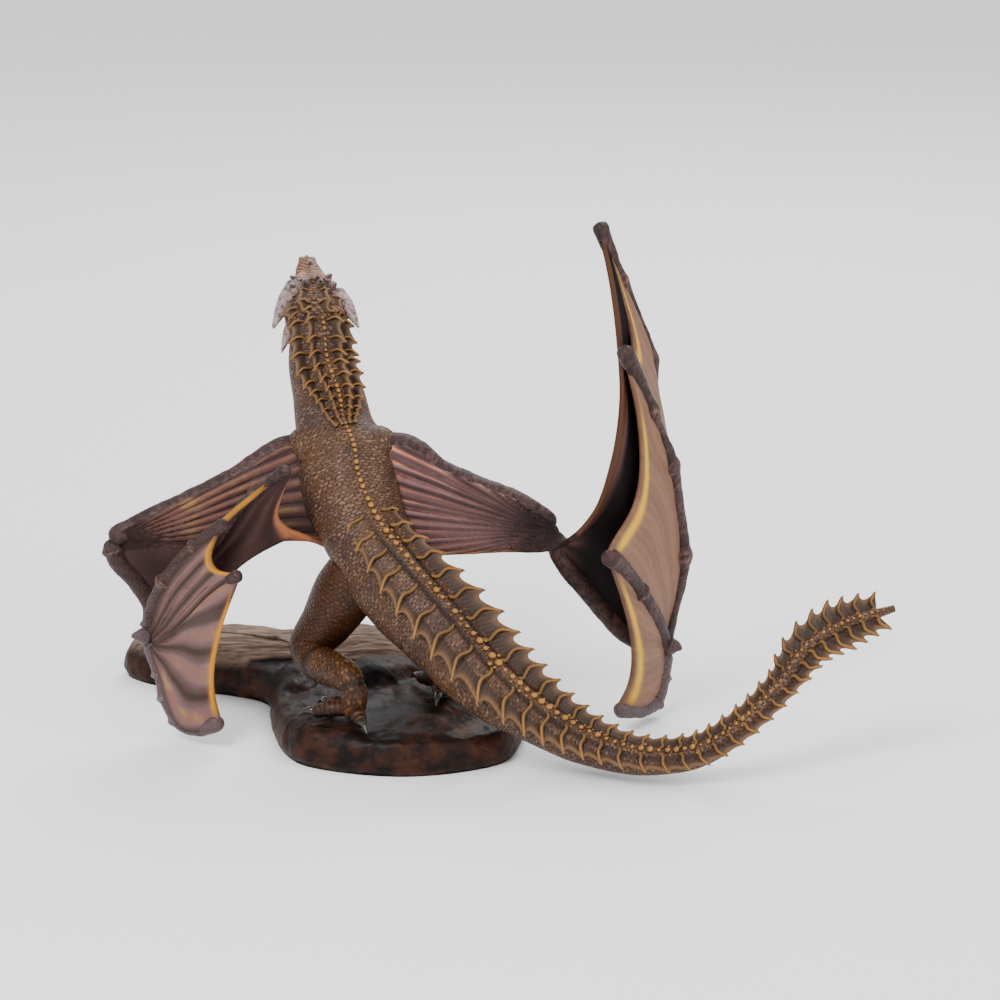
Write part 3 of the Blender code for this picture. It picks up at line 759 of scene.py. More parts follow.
def membrane_finish(name, deep, skin, ridge, rim, warmth=1.0):
    """Wing skin: mauve-brown, with painted shade in its fold valleys and hollows, warm ridges that are a
    painted highlight, and a bright trailing edge.
    """
    finish = Finish(name, 0.42, coat=0.03, shine=0.16)
    fold = finish.painted("relief")
    edge = finish.painted("edge")
    shade = finish.painted("tone")
    patches = finish.cloud(0.020, 4.0)
    hues = finish.cloud(0.014, 3.0, stretch=(1.0, 1.0, 1.6))
    veins = finish.cloud(0.0035, 4.0)
    grain = finish.cloud(0.0008, 2.0, stretch=(1.0, 1.0, 0.3))
    worn = (0.72 + grain * 0.56) * (0.8 + veins * 0.4)
    # Painted shade: the fold valleys, low in relief, mix towards the deep colour.
    body = finish.mix((fold.step(0.12, 0.64) * worn + patches.step(0.40, 0.75) * 0.12).clamped(), deep, skin)
    # Painted highlight: a warm tint on the fold ridges.
    warm = (fold.step(0.50, 0.95) * patches.step(0.32, 0.58) * (0.45 + veins * 0.9) * warmth).clamped()
    tinted = finish.mix(hues.step(0.50, 0.66), ridge, (0.42, 0.24, 0.045))
    ridged = finish.mix(warm, body, tinted)
    rimmed = finish.mix((edge * (0.65 + patches) * (0.7 + veins * 0.8)).clamped(), ridged, rim)
    # Painted shade: the tone layer darkens the skin towards the deep colour, in the hollow past and near the
    # elbow, and near the panels' roots and trailing edges.
    finish.colour(finish.mix(shade.clamped(), rimmed, deep))
    finish.roughness(0.38 + 0.22 * grain + 0.3 * shade)
    finish.relief(veins * 0.6 + grain * 0.4, 0.0004)
    return finish.material


def rock_finish(name, dark, brown, red, wood, pale):
    """Painted rock with black-brown hollows and polished sides, and the grey-brown grain of the logs."""
    finish = Finish(name, 0.45, coat=0.04, shine=0.13)
    relief = finish.painted("relief")
    log = finish.painted("tone")
    patches = finish.cloud(0.030, 5.0)
    smears = finish.cloud(0.010, 5.0, stretch=(1.0, 1.0, 2.2))
    grain = finish.cloud(0.0022, 4.0, stretch=(0.12, 1.0, 1.0), turn=(0.0, 0.0, 0.08))
    fine = finish.cloud(0.0012, 3.0)
    stone = finish.mix(relief.step(0.30, 0.80), dark, brown)
    stone = finish.mix((patches.step(0.45, 0.65) * smears.step(0.35, 0.7)).clamped(), stone, red)
    timber = finish.mix((grain.step(0.30, 0.56) * (0.5 + relief * 0.8)).clamped(), wood, pale)
    finish.colour(finish.mix(log, stone, timber))
    finish.roughness(0.40 + 0.20 * log + 0.20 * fine)
    finish.relief(smears * 0.5 + grain * log * 0.6 + fine * 0.25, 0.0008)
    return finish.material


def gloss_finish(name, colour, paler, roughness=0.2):
    """Glossy claws, teeth and eyes, with a slight change of tone along them."""
    finish = Finish(name, roughness, coat=0.5)
    patches = finish.cloud(0.004, 3.0)
    finish.colour(finish.mix(patches.step(0.4, 0.7) * 0.6, colour, paler))
    finish.relief(finish.cloud(0.0012, 2.0), 0.0001)
    return finish.material


def length_property(name, description, usual, least):
    """A length in metres that the panel shows."""
    return bpy.props.FloatProperty(
        name=name, description=description, default=usual, min=least, unit="LENGTH",
    )


def colour_property(name, description, usual):
    """A paint that the panel shows."""
    return bpy.props.FloatVectorProperty(
        name=name, description=description, subtype="COLOR", default=usual, min=0.0, max=1.0,
    )


class DragonSizes(bpy.types.PropertyGroup):
    """Sizes of the carved detail."""

    scale_length: length_property("Scale length", "Spacing of the rows of scales on the body", 0.0015, 0.001)
    scale_depth: length_property("Scale depth", "How far the scales stand out of their grooves", 0.0005, 0.0)
    bead_share: bpy.props.FloatProperty(
        name="Bead size", description="Size of the beads down the back, as a share of their usual size",
        default=1.0, min=0.2, max=2.0,
    )
    web_thickness: length_property("Web thickness", "Thickness of the webs of the crests", 0.0016, 0.0005)
    membrane_thickness: length_property("Membrane thickness", "Thickness of the wing skins", 0.0025, 0.0005)
    fold_depth: length_property("Fold depth", "Height of the folds in the wing skins", 0.0017, 0.0)


class DragonColours(bpy.types.PropertyGroup):
    """Colours of the hand-painted finish."""

    # Recess: the dark wash between the scales, made darker so that it paints the shade in the grooves as
    # well
    recess: colour_property("Recess", "Dark wash between the scales", (0.009, 0.0035, 0.0016))
    hide: colour_property("Hide", "Brown of the scales", (0.055, 0.027, 0.019))
    warm_hide: colour_property("Warm hide", "Golden patches of the scales", (0.095, 0.041, 0.016))
    crown: colour_property("Crown", "Dry-brushed tops of the scales", (0.255, 0.153, 0.098))
    ochre: colour_property("Ochre", "Beads and spines of the crests", (0.360, 0.165, 0.042))
    web: colour_property("Web", "Grey-brown webs between the spines", (0.070, 0.039, 0.025))
    tan: colour_property("Tan", "Snout and outer wing skins", (0.225, 0.112, 0.068))
    horn: colour_property("Horn", "Pale mauve of the horns", (0.400, 0.285, 0.275))
    mauve: colour_property("Mauve", "Wing skin", (0.085, 0.040, 0.038))
    # Wing dark: the dark paint of the wings' folds and hollows, which also paints the shade that falls in
    # them
    wing_dark: colour_property("Wing dark", "Folds and hollows of the wings", (0.010, 0.004, 0.005))
    # Ember: the orange of the wing folds' ridges, where it is a painted highlight; the large skins' trailing
    # edges take it too
    ember: colour_property("Ember", "Orange ridges of the wing folds", (0.330, 0.120, 0.050))
    yellow: colour_property("Yellow", "Trailing edges of the wings", (0.620, 0.330, 0.006))
    rock: colour_property("Rock", "Brown of the rock", (0.034, 0.0085, 0.0040))
    timber: colour_property("Timber", "Grey-brown of the logs", (0.300, 0.200, 0.150))
    floor: colour_property("Floor", "Pale studio floor", (0.93, 0.93, 0.93))


def darker(colour, share):
    """A colour property's tone, times a share."""
    return tuple(channel * share for channel in tint(colour))


def hide_tints(colours):
    """The body's grooves, brown, crowns and golden patches."""
    return [tint(colour) for colour in (colours.recess, colours.hide, colours.crown, colours.warm_hide)]


def hide_finish(colours):
    """The body's scales, made once and shared by its pieces."""
    return bpy.data.materials.get("painted_scales") or scale_finish("painted_scales", *hide_tints(colours))


def leg_finish(colours):
    """The legs' scales: golden crowns over a darker wash than the body's, the extra darkness being painted
    shade for legs that stand under the body.
    """
    # Painted shade: the recess, brown and golden patches are darker than the body's, for the shade under the
    # body.
    return scale_finish(
        "painted_legs", darker(colours.recess, 0.3), (0.026, 0.009, 0.003), (0.270, 0.105, 0.018),
        (0.062, 0.018, 0.003), roughness=0.40,
    )


def ochre_finish(colours):
    """Beads and spines, made once and shared."""
    return bpy.data.materials.get("painted_ochre") or scale_finish(
        "painted_ochre", darker(colours.ochre, 0.08), darker(colours.ochre, 0.42), tint(colours.ochre),
        darker(colours.ochre, 0.60), roughness=0.45,
    )


def rod_finish(colours):
    """The wings' scaled bones, made once and shared."""
    return bpy.data.materials.get("painted_rods") or scale_finish(
        "painted_rods", tint(colours.wing_dark), darker(colours.mauve, 1.25), darker(colours.tan, 1.3),
        darker(colours.hide, 0.7), roughness=0.48,
    )


def leather_finish(colours):
    """The smooth grey-mauve leather of the wings' lowest fingers, made once and shared."""
    return bpy.data.materials.get("painted_leather") or scale_finish(
        "painted_leather", darker(colours.mauve, 0.7), (0.100, 0.082, 0.092), (0.260, 0.225, 0.240),
        (0.090, 0.064, 0.068), roughness=0.42,
    )


def body_surface(scales, depth):
    """The body's skin: scales over the back and sides, broad plates under the belly, and a ridged spine."""
    plate_length = 0.0062

    def surface(stop, turn, point):
        belly = ease(abs(turn), math.radians(140), math.radians(148))
        height, tone = scales.at(stop, turn, point)
        run = stop.travelled / plate_length % 1.0
        plate = (0.25 + 0.75 * run) * (1 - run ** 10)
        plate *= 1 - 0.35 * bell(abs(turn), math.pi, 0.05)
        seam = bell(abs(turn), math.radians(144), 0.05)
        height = height * (1 - belly) + plate * belly * (1 - seam)
        size = min(1.0, stop.radius / 0.012)
        furrow = bell(abs(turn) * stop.radius, 0.0046, 0.0016) * size * ease(stop.share, 0.32, 0.42)
        muscle = rough(point, 0.030, 2) * 0.0009 * size
        rise = (height - 0.6) * depth * (0.55 + 0.45 * size) * (1 + belly) + muscle - furrow * 0.0007
        # The furrows beside the spine and the belly's seam and middle line get lower relief, so the finish
        # paints them with the grooves' dark wash and painted shade.
        return rise, height * (1 - 0.55 * furrow), tone

    return surface


class DRAGON_OT_body(bpy.types.Operator):
    """Models the scaled skin of the neck and trunk, and of the tail"""

    bl_idname = "dragon.body"
    bl_label = "Body and tail"
    bl_options = {"REGISTER", "UNDO"}

    # Name, shares of the spine where it starts and ends, rings along it and sides round it
    parts = (("neck", 0.0, 0.19, 170, 170), ("trunk", 0.19, 0.47, 324, 206), ("tail", 0.47, 1.0, 456, 110))
    # How far each part starts inside the one before, as a share of the spine
    lap = 0.004
    shoulder_rings = 70

    def execute(self, context):
        sizes = context.scene.dragon_sizes
        whole = spine_line(400, 0.0, 1.0)
        scales = ScaleRows(whole, sizes.scale_length, sizes.scale_length * 2.3)
        surface = body_surface(scales, sizes.scale_depth)
        hide = hide_finish(context.scene.dragon_colours)
        for name, start, end, rings, sides in self.parts:
            start = max(0.0, start - self.lap)
            before = next(stop.travelled for stop in whole if stop.share >= start)
            body_piece(name, drape(spine_line(rings, start, end, before), sides, surface), hide)
        for name, rows in SHOULDERS.items():
            line = limb_line(rows, self.shoulder_rings, rounded=(True, True))
            body_piece(name, drape(line, 84, self.shoulder_surface(rows, sizes)), hide)
        return {"FINISHED"}

    def shoulder_surface(self, rows, sizes):
        """The same scales as on the body, over the muscles of a shoulder."""
        line = limb_line(rows, self.shoulder_rings)
        scales = ScaleRows(line, sizes.scale_length, sizes.scale_length * 2.0)

        def surface(stop, turn, point):
            height, tone = scales.at(stop, turn, point)
            return (height - 0.6) * sizes.scale_depth + 0.0012 * rough(point, 0.016, 2), height, tone

        return surface


class DRAGON_OT_beads(bpy.types.Operator):
    """Sets the row of beads down the middle of the back, with small ones beside it"""

    bl_idname = "dragon.beads"
    bl_label = "Back beads"
    bl_options = {"REGISTER", "UNDO"}

    def execute(self, context):
        usual = context.scene.dragon_sizes.bead_share * UNIT
        bm = new_bmesh()
        share = BEADS_START
        count = 0
        while share < 0.985:
            size, pitch = blend_rows(BEADS, (share - BEADS_START) / (1 - BEADS_START))
            own = size * usual * (0.85 + 0.3 * noise.cell(Vector((count + 0.5, 7.0, 1.0))))
            self.bead(bm, share, 0.0, own, 0.45)
            radius = spine_frame(max(0.0, share))[1]
            for side in (-1, 1) if share > TAIL_BEADS_START else ():
                wander = noise.cell(Vector((count + 0.5, side + 3.5, 5.0)))
                spread = math.degrees((own * 1.35 + 0.0010 * wander) / radius)
                self.bead(bm, share + 0.004 * wander, side * spread, own * (0.32 + 0.25 * wander), 0.3)
            middle, ahead = on_skin(share, 0.0)[0], on_skin(share + 0.004, 0.0)[0]
            share += 0.004 * pitch * UNIT / (ahead - middle).length
            count += 1
        body_piece("back_beads", bm, ochre_finish(context.scene.dragon_colours))
        return {"FINISHED"}

    def bead(self, bm, share, degrees, size, point):
        """One bead: a ball on the skin, drawn back to a blunt point."""
        ball = new_bmesh()
        relief, tones = paint_layers(ball)
        middle, out, along = on_skin(share, degrees)
        bmesh.ops.create_uvsphere(ball, u_segments=10, v_segments=6, radius=size)
        turn = out.to_track_quat("Z", "Y").to_matrix()
        for vert in ball.verts:
            high = vert.co.z / size
            vert[relief] = 0.35 + 0.65 * max(0.0, high)
            vert[tones] = 0.8
            lifted = turn @ vert.co + along * size * point * max(0.0, high) ** 2 * 1.3
            vert.co = middle + lifted + out * size * 0.15
        pour_in(bm, ball)


def crest_stops(start, end, first_step, last_step):
    """Shares of the spine where the spikes of a crest stand, closer together as the body thins."""
    stops = [start]
    while stops[-1] < end:
        part = (stops[-1] - start) / (end - start)
        stops.append(stops[-1] + first_step + (last_step - first_step) * part)
    return stops[:-1]


class Crest(namedtuple("Crest", "root way start end first_step last_step lean thick creep")):
    """A row of webbed spines, with its root and the way it stands in degrees from the middle of the back."""

    __slots__ = ()

    def stops(self):
        return crest_stops(self.start, self.end, self.first_step, self.last_step)


class TailCrest(Crest):
    """A crest that stands near the middle of the back, and opens out to a flat leaf at the tail's end."""

    __slots__ = ()

    def height(self, share):
        at_hips = 9.5 * (1 - ease(share, 0.50, 0.69)) + 5.0
        opening = min(1, max(0, (share - TAIL_CREST_START) / 0.12))
        leaf = max(0.0, 1 - abs(share - 0.925) / 0.075)
        return at_hips * (0.25 + 0.75 * opening) + 6.5 * leaf ** 0.7

    def angles(self, share):
        part = ease(share, TAIL_LEAF_START, TAIL_LEAF_START + 0.08)
        leaf = (math.copysign(angle, self.root) for angle in TAIL_LEAF_ANGLES)
        return [a + (b - a) * part for a, b in zip((self.root, self.way), leaf)]


class NeckCrest(Crest):
    """A crest that starts on the skull and closes on the middle of the back at the shoulders."""

    __slots__ = ()

    def height(self, share):
        part = (share - NECK_CREST_START + 0.012) / (NECK_CREST_END - NECK_CREST_START + 0.03)
        return 8.0 * math.sin(math.pi * min(1.0, max(0.0, part))) ** 0.7

    def angles(self, share):
        part = min(1.0, max(0.0, share / NECK_CREST_END))
        return self.root * (1 - 0.80 * part ** 2), self.way * (1 - 0.65 * part ** 2)


def crest_point(crest, share, height, rise):
    """A point of a crest's web: rise goes from 0 in the skin to 1 at a height over it."""
    root_angle, way_angle = crest.angles(share)
    root, _, along = on_skin(share, root_angle, depth=CREST_ROOTS)
    way = on_skin(share, way_angle)[1]
    return root + (way * (height + CREST_ROOTS) + along * height * crest.lean) * rise


def crest_web(name, crest, thickness, finish):
    """The webs of a crest: one strip from spine to spine, ribbed, hollowed and dipping at its edge."""
    per_spine, rows = 12, 8
    stops = crest.stops()
    bm = new_bmesh()
    relief, tones = paint_layers(bm)
    bmesh.ops.create_grid(bm, x_segments=(len(stops) - 1) * per_spine, y_segments=rows, size=0.5)
    for vert in bm.verts:
        place = (vert.co.x + 0.5) * (len(stops) - 1)
        rise = vert.co.y + 0.5
        first = min(int(place), len(stops) - 2)
        part = place - first
        share = stops[first] + (stops[first + 1] - stops[first]) * part
        full = crest.height(stops[first]) * (1 - part) + crest.height(stops[first + 1]) * part
        height = full * (1 - WEB_DIP * math.sin(math.pi * part ** 0.6)) * UNIT
        out, along = on_skin(share, crest.angles(share)[1])[1:]
        hollow = math.sin(math.pi * part) * math.sin(math.pi * min(1.0, rise * 1.1))
        ribs = 0.5 + 0.5 * math.cos(math.tau * 6 * part + 2.0 * rise)
        vert.co = crest_point(crest, share, height, rise)
        vert.co += along.cross(out) * math.copysign(1, crest.root) * (hollow * 0.0008 - ribs * 0.0003 * rise)
        vert[relief] = 0.30 + 0.42 * ribs * (0.4 + 0.6 * rise) + 0.36 * rise ** 4
        vert[tones] = 0.45
    return thickened(body_piece(name, bm, finish), thickness)


def crest_spines(bm, crest):
    """The spines of a crest: each creeps out over the skin, then runs up the web to a pointed tip."""
    for stop in crest.stops():
        height = crest.height(stop) * UNIT
        size = crest.thick * (0.55 + 0.45 * min(1.0, height / 0.006))
        root_angle, way_angle = crest.angles(stop)
        start, up, along = on_skin(stop - crest.lean * 0.006, root_angle * crest.creep)
        root, _, _ = on_skin(stop, root_angle)
        way = on_skin(stop, way_angle)[1]
        front = -along * size * 0.5
        arch = -along * height * 0.22 + up * height * 0.12
        tip = crest_point(crest, stop, height, 1.0)
        hook = tip + (way * 0.5 + along * (0.25 + crest.lean)) * size * 1.3
        rows = []
        for point, share in (
            (start - along * size * 1.6, 0.40), (start + up * size * 0.4, 1.0),
            (root + front + up * size * 0.5, 1.15), (root.lerp(tip, 0.45) + front + arch, 1.0),
            (tip + front * 0.5, 0.78), (hook, 0.25),
        ):
            rows.append((*point, size * share))
        pour_in(bm, drape(metre_line(rows, 16), 8, spine_surface))


def spine_surface(stop, turn, point):
    """A smooth spine, bright along its crown and at its tip."""
    return 0.0, (0.50 + 0.36 * math.cos(turn)) * (0.80 + 0.35 * ease(stop.share, 0.45, 0.85)), 0.6


def metre_line(rows, count):
    """Stops along a limb whose rows are in metres already."""
    lifted = []
    for x, y, z, radius in rows:
        level = STANDING_LEVEL + (z - BASE_THICKNESS - SEAM_GAP) / UNIT
        lifted.append((x / UNIT, y / UNIT, level, radius / UNIT))
    return limb_line(lifted, count, rounded=(True, True))


class DRAGON_OT_crests(bpy.types.Operator):
    """Models the webbed crests of the neck and of the tail, with their hooked spines"""

    bl_idname = "dragon.crests"
    bl_label = "Crests"
    bl_options = {"REGISTER", "UNDO"}

    def execute(self, context):
        colours = context.scene.dragon_colours
        thickness = context.scene.dragon_sizes.web_thickness
        web = scale_finish(
            "painted_webs", darker(colours.web, 0.12), tint(colours.web), darker(colours.ochre, 0.60),
            darker(colours.web, 1.20), roughness=0.48,
        )
        spines = new_bmesh()
        crests = {}
        for name, (root, way) in zip(("left", "right"), TAIL_CREST_ANGLES):
            crests[f"{name}_tail_web"] = TailCrest(
                root, way, TAIL_CREST_START, TAIL_CREST_END, *TAIL_CREST_STEPS,
                lean=0.40, thick=0.00095, creep=0.60,
            )
        for i, (root, way) in enumerate(NECK_CREST_ANGLES):
            crests[f"neck_web_{i + 1}"] = NeckCrest(
                root, way, NECK_CREST_START, NECK_CREST_END, *NECK_CREST_STEPS,
                lean=0.30, thick=0.00062, creep=0.90,
            )
        for name, crest in crests.items():
            crest_web(name, crest, thickness, web)
            crest_spines(spines, crest)
        gilt = scale_finish(
            "painted_spines", *(darker(colours.ochre, share) for share in (0.06, 0.30, 0.95, 0.42)),
            roughness=0.45,
        )
        body_piece("crest_spines", spines, gilt)
        return {"FINISHED"}


def oval_form(bm, stations, rings, sides, surface):
    """Adds a closed form with oval sections to a bmesh: a ball whose rings are carried onto the stations."""
    relief, tones = paint_layers(bm)
    for vert, ring, turn in bent_grid(bm, rings, sides):
        share = min(max(ring - 1, 0), rings - 1) / (rings - 1)
        x, y, z, wide, high = blend_rows(stations, share)
        if ring in (0, rings + 1):
            vert.co = at(x, y, z)
            continue
        end = math.sqrt(max(0.02, 1 - max(0.0, (share - 0.93) / 0.07) ** 2))
        rise, vert[relief], vert[tones] = surface(share, turn)
        way = Vector((math.cos(turn), 0.0, math.sin(turn)))
        vert.co = at(x + way.x * wide * end, y, z + way.z * high * end) + way * rise
    bmesh.ops.remove_doubles(bm, verts=bm.verts, dist=WELD)


def pebbled(row, count, turn):
    """Round scales in staggered rows, from 0 between them to 1 on their crowns."""
    shift = math.pi * (math.floor(row) % 2)
    return (0.5 + 0.5 * math.cos(count * turn + shift)) ** 0.6 * math.sin(math.pi * (row % 1.0)) ** 0.6


def skull_surface(share, turn):
    """The head's skin: small scales, brow ridges over sunken eyes, and swollen nostrils."""
    up = math.sin(turn)
    side = abs(math.cos(turn))
    wander = 0.35 * noise.noise(Vector((share * 9, math.cos(turn), math.sin(turn))) * 2.2)
    pebble = pebbled(share * 38 + wander, 18, turn + wander * 0.3)
    pebble += (0.7 - pebble) * ease(share, 0.88, 0.96)
    brow = bell(share, 0.56, 0.10) * bell(turn if turn > 0 else 9, math.radians(58), 0.22)
    brow += bell(share, 0.56, 0.10) * bell(turn if turn > 0 else 9, math.radians(122), 0.22)
    socket = bell(share, 0.60, 0.05) * bell(up, 0.42, 0.20) * ease(side, 0.5, 0.9)
    nostril = bell(share, 0.93, 0.035) * bell(up, 0.75, 0.22) * ease(side, 0.3, 0.6)
    ridge = bell(turn, math.pi / 2, 0.16) * ease(share, 0.45, 0.7)
    lip = bell(up, -0.45, 0.16) * ease(share, 0.45, 0.6)
    rise = 0.0021 * brow - 0.0022 * socket + 0.0011 * nostril + 0.0009 * ridge + 0.0009 * lip
    smooth = 1 - 0.6 * ease(share, 0.7, 0.9)
    return rise + (pebble - 0.6) * 0.0005 * smooth, 0.35 + 0.5 * pebble + 0.3 * brow, 0.5 + 0.3 * up


def jaw_surface(share, turn):
    """The lower jaw: small scales and a row of larger plates along the lip."""
    pebble = pebbled(share * 30, 16, turn)
    pebble += (0.7 - pebble) * ease(share, 0.86, 0.96)
    return (pebble - 0.6) * 0.0005, 0.3 + 0.6 * pebble, 0.5


def curved_horn(bm, foot, tip, radius, sides=14, count=22, droop=(0.0, 0.0, -0.10)):
    """A horn that curves from its foot to its tip, ringed near the foot."""
    way = Vector(tip) - Vector(foot)
    bend = Vector(droop) * way.length
    rows = []
    for part, share in ((-0.15, 1.0), (0.0, 1.0), (0.3, 0.84), (0.6, 0.56), (0.85, 0.28), (1.0, 0.10)):
        point = Vector(foot) + way * part - bend * math.sin(math.pi * max(0.0, part)) * 0.9
        rows.append((*point, radius * share))

    def surface(stop, turn, point):
        rings = math.cos(stop.share * 60) * (1 - stop.share) ** 1.5
        return 0.00018 * rings, 0.35 + 0.6 * stop.share + 0.25 * rings, 0.6

    pour_in(bm, drape(limb_line(rows, count, rounded=(False, True)), sides, surface))


class DRAGON_OT_head(bpy.types.Operator):
    """Models the head: skull, open jaw, horns, brow spikes, teeth, tongue and eyes"""

    bl_idname = "dragon.head"
    bl_label = "Head"
    bl_options = {"REGISTER", "UNDO"}

    def execute(self, context):
        colours = context.scene.dragon_colours
        snout = (darker(colours.tan, 0.8), darker(colours.tan, 2.0))
        face = scale_finish("painted_face", *hide_tints(colours), snout=snout)
        skull = new_bmesh()
        oval_form(skull, HEAD, 110, 88, skull_surface)
        body_piece("skull", skull, face)
        jaw = new_bmesh()
        oval_form(jaw, JAW, 80, 64, jaw_surface)
        body_piece("lower_jaw", jaw, face)
        self.horns(colours)
        self.brow_spikes(colours)
        self.mouth()
        self.eyes()
        return {"FINISHED"}

    def horns(self, colours):
        finish = horn_finish(
            "painted_horn", darker(colours.horn, 0.25), tint(colours.horn), darker(colours.hide, 0.6),
        )
        bm = new_bmesh()
        for foot, tip, radius in HORNS[:4]:
            curved_horn(bm, foot, tip, radius, sides=24, count=40)
        body_piece("cheek_horns", bm, finish)

    def brow_spikes(self, colours):
        """Small dark spikes across the back of the brow and down the cheeks."""
        bm = new_bmesh()
        for foot, tip, radius in HORNS[4:]:
            curved_horn(bm, foot, tip, radius * 0.9)
        count = 15
        for i in range(count):
            part = i / (count - 1)
            turn = math.radians(8 + 164 * part)
            wander = noise.cell(Vector((i + 0.5, 2.5, 9.0)))
            x, y, z, wide, high = blend_rows(HEAD, 0.40 + 0.05 * math.sin(turn) + 0.03 * wander)
            foot = Vector((x + wide * math.cos(turn) * 0.92, y, z + high * math.sin(turn) * 0.92))
            out = Vector((math.cos(turn) * 0.75, -1.0, math.sin(turn) * 0.75)).normalized()
            curved_horn(bm, foot, foot + out * (4.6 + 2.4 * wander), 1.5, sides=10, count=12)
        dark = horn_finish(
            "dark_spikes", darker(colours.hide, 0.30), darker(colours.horn, 0.75), tint(colours.recess),
        )
        body_piece("brow_spikes", bm, dark)

    def mouth(self):
        """Teeth along both jaws, and the tongue between them."""
        bm = new_bmesh()
        for y in TEETH_AT:
            wide = TOOTH_SPREAD * (1.35 - 0.35 * (y - TEETH_AT[0]) / (TEETH_AT[-1] - TEETH_AT[0]))
            rise = (y - TEETH_AT[-3]) * JAW_SLOPE
            for side in (-1, 1):
                x = JAW_MIDDLE + side * wide
                for foot, tip in (
                    ((x, y, TOOTH_ROOT + rise + 1), (x, y - 1.2, TOOTH_ROOT + rise - 4.4)),
                    ((x, y + 2, TOOTH_ROOT + rise - 9), (x, y + 1, TOOTH_ROOT + rise - 4.6)),
                ):
                    curved_horn(bm, foot, tip, 0.9, sides=8, count=10)
        ivory = gloss_finish("ivory_teeth", (0.50, 0.40, 0.27), (0.66, 0.58, 0.44), 0.28)
        body_piece("teeth", bm, ivory)
        rows = [(-45, 74, 197, 4.2), (-45.8, 86, 200.5, 3.6), (-46.8, 96, 203.6, 3), (-48, 105, 207.5, 1.4)]

        def surface(stop, turn, point):
            return -0.3 * stop.radius * bell(turn, 0.0, 0.6), 0.4 + 0.4 * math.cos(turn), 0.5

        tongue = drape(limb_line(rows, 30, rounded=(False, True), first_back=(0.0, 0.0, 1.0)), 20, surface)
        red = gloss_finish("red_tongue", (0.16, 0.022, 0.018), (0.28, 0.06, 0.05), 0.3)
        body_piece("tongue", tongue, red)

    def eyes(self):
        """An amber eye under each brow, with a dark slit and a lid round it."""
        amber = gloss_finish("amber_eyes", (0.55, 0.22, 0.02), (0.70, 0.42, 0.05), 0.12)
        dark = gloss_finish("dark_slits", (0.012, 0.008, 0.006), (0.03, 0.02, 0.015), 0.15)
        balls, slits = new_bmesh(), new_bmesh()
        for side in (-1, 1):
            middle = at(-46.1 + side * 9.2, 89.5, 214.6)
            bmesh.ops.create_uvsphere(
                balls, u_segments=24, v_segments=16, radius=0.0027, matrix=Matrix.Translation(middle),
            )
            front = middle + Vector((side * 0.00212, 0.00085, 0.0003))
            slit = Matrix.Translation(front) @ Matrix.Rotation(side * math.radians(-20), 4, "Z")
            slit = slit @ Matrix.Diagonal((0.5, 0.38, 1.7, 1.0))
            bmesh.ops.create_uvsphere(slits, u_segments=16, v_segments=12, radius=0.0011, matrix=slit)
        body_piece("eyes", balls, amber)
        body_piece("eye_slits", slits, dark)


class DRAGON_OT_legs(bpy.types.Operator):
    """Models the two scaled legs, their toes and their claws"""

    bl_idname = "dragon.legs"
    bl_label = "Legs and claws"
    bl_options = {"REGISTER", "UNDO"}

    def execute(self, context):
        colours = context.scene.dragon_colours
        sizes = context.scene.dragon_sizes
        golden = leg_finish(colours)
        for name, leg in (("left_leg", LEFT_LEG), ("right_leg", RIGHT_LEG)):
            line = limb_line(leg, 180)
            scales = ScaleRows(line, sizes.scale_length * 1.3, sizes.scale_length * 1.9)

            def surface(stop, turn, point, scales=scales):
                height, tone = scales.at(stop, turn, point)
                crease = bell(stop.share, 0.47, 0.02) + bell(stop.share, 0.74, 0.02)
                cord = 0.0012 * bell(abs(turn), math.radians(150), 0.35) * ease(stop.share, 0.40, 0.55)
                rise = (height - 0.6) * sizes.scale_depth + cord - 0.0005 * crease
                lit = 0.60 + 0.40 * ease(stop.share, 0.25, 0.55)
                # The creases get lower relief, so the finish paints them with the grooves' dark wash and
                # painted shade.
                return rise, height * (1 - 0.4 * crease) * (0.6 + 0.4 * lit), tone * lit

            body_piece(name, drape(line, 120, surface), golden)
        toes, claws = new_bmesh(), new_bmesh()
        for leg, foot in ((LEFT_LEG, LEFT_TOES), (RIGHT_LEG, RIGHT_TOES)):
            for heading, length in foot:
                self.toe(toes, claws, leg[-1], heading, length)
        body_piece("toes", toes, golden)
        black = gloss_finish("black_claws", (0.012, 0.009, 0.008), (0.05, 0.035, 0.03), 0.16)
        body_piece("claws", claws, black)
        return {"FINISHED"}

    def toe(self, toes, claws, ankle, heading, length):
        """One toe that lies on the rock, with a plated back and swollen joints, and its hooked claw."""
        turn = math.radians(heading)
        way = Vector((math.cos(turn), math.sin(turn), 0.0))
        root = Vector((ankle[0], ankle[1], STANDING_LEVEL + TOE_RADIUS + TOE_TOP))
        knuckle = root + way * length * 0.55 - Vector((0, 0, TOE_TOP * 0.4))
        end = root + way * length - Vector((0, 0, TOE_TOP))
        rows = [(*root, TOE_RADIUS * 1.25), (*knuckle, TOE_RADIUS), (*end, TOE_RADIUS * 0.9)]
        plate = 0.0026

        def surface(stop, turn, point):
            run = stop.travelled / plate % 1.0
            plated = (0.3 + 0.7 * run) * (1 - run ** 8)
            joint = bell(stop.share, 0.52, 0.10) * 0.0007
            return joint + (plated - 0.6) * 0.0005, 0.15 + 0.7 * plated * (0.6 + 0.4 * math.cos(turn)), 0.4

        line = limb_line(rows, 44, rounded=(False, True), first_back=(0.0, 0.0, 1.0))
        pour_in(toes, drape(line, 22, surface))
        nail = end - way * CLAW_LENGTH * 0.4
        tip = end + way * CLAW_LENGTH - Vector((0, 0, TOE_RADIUS * 0.7))
        curved_horn(claws, nail, tip, TOE_RADIUS * 0.7, sides=16, count=24, droop=(0.0, 0.0, -0.22))


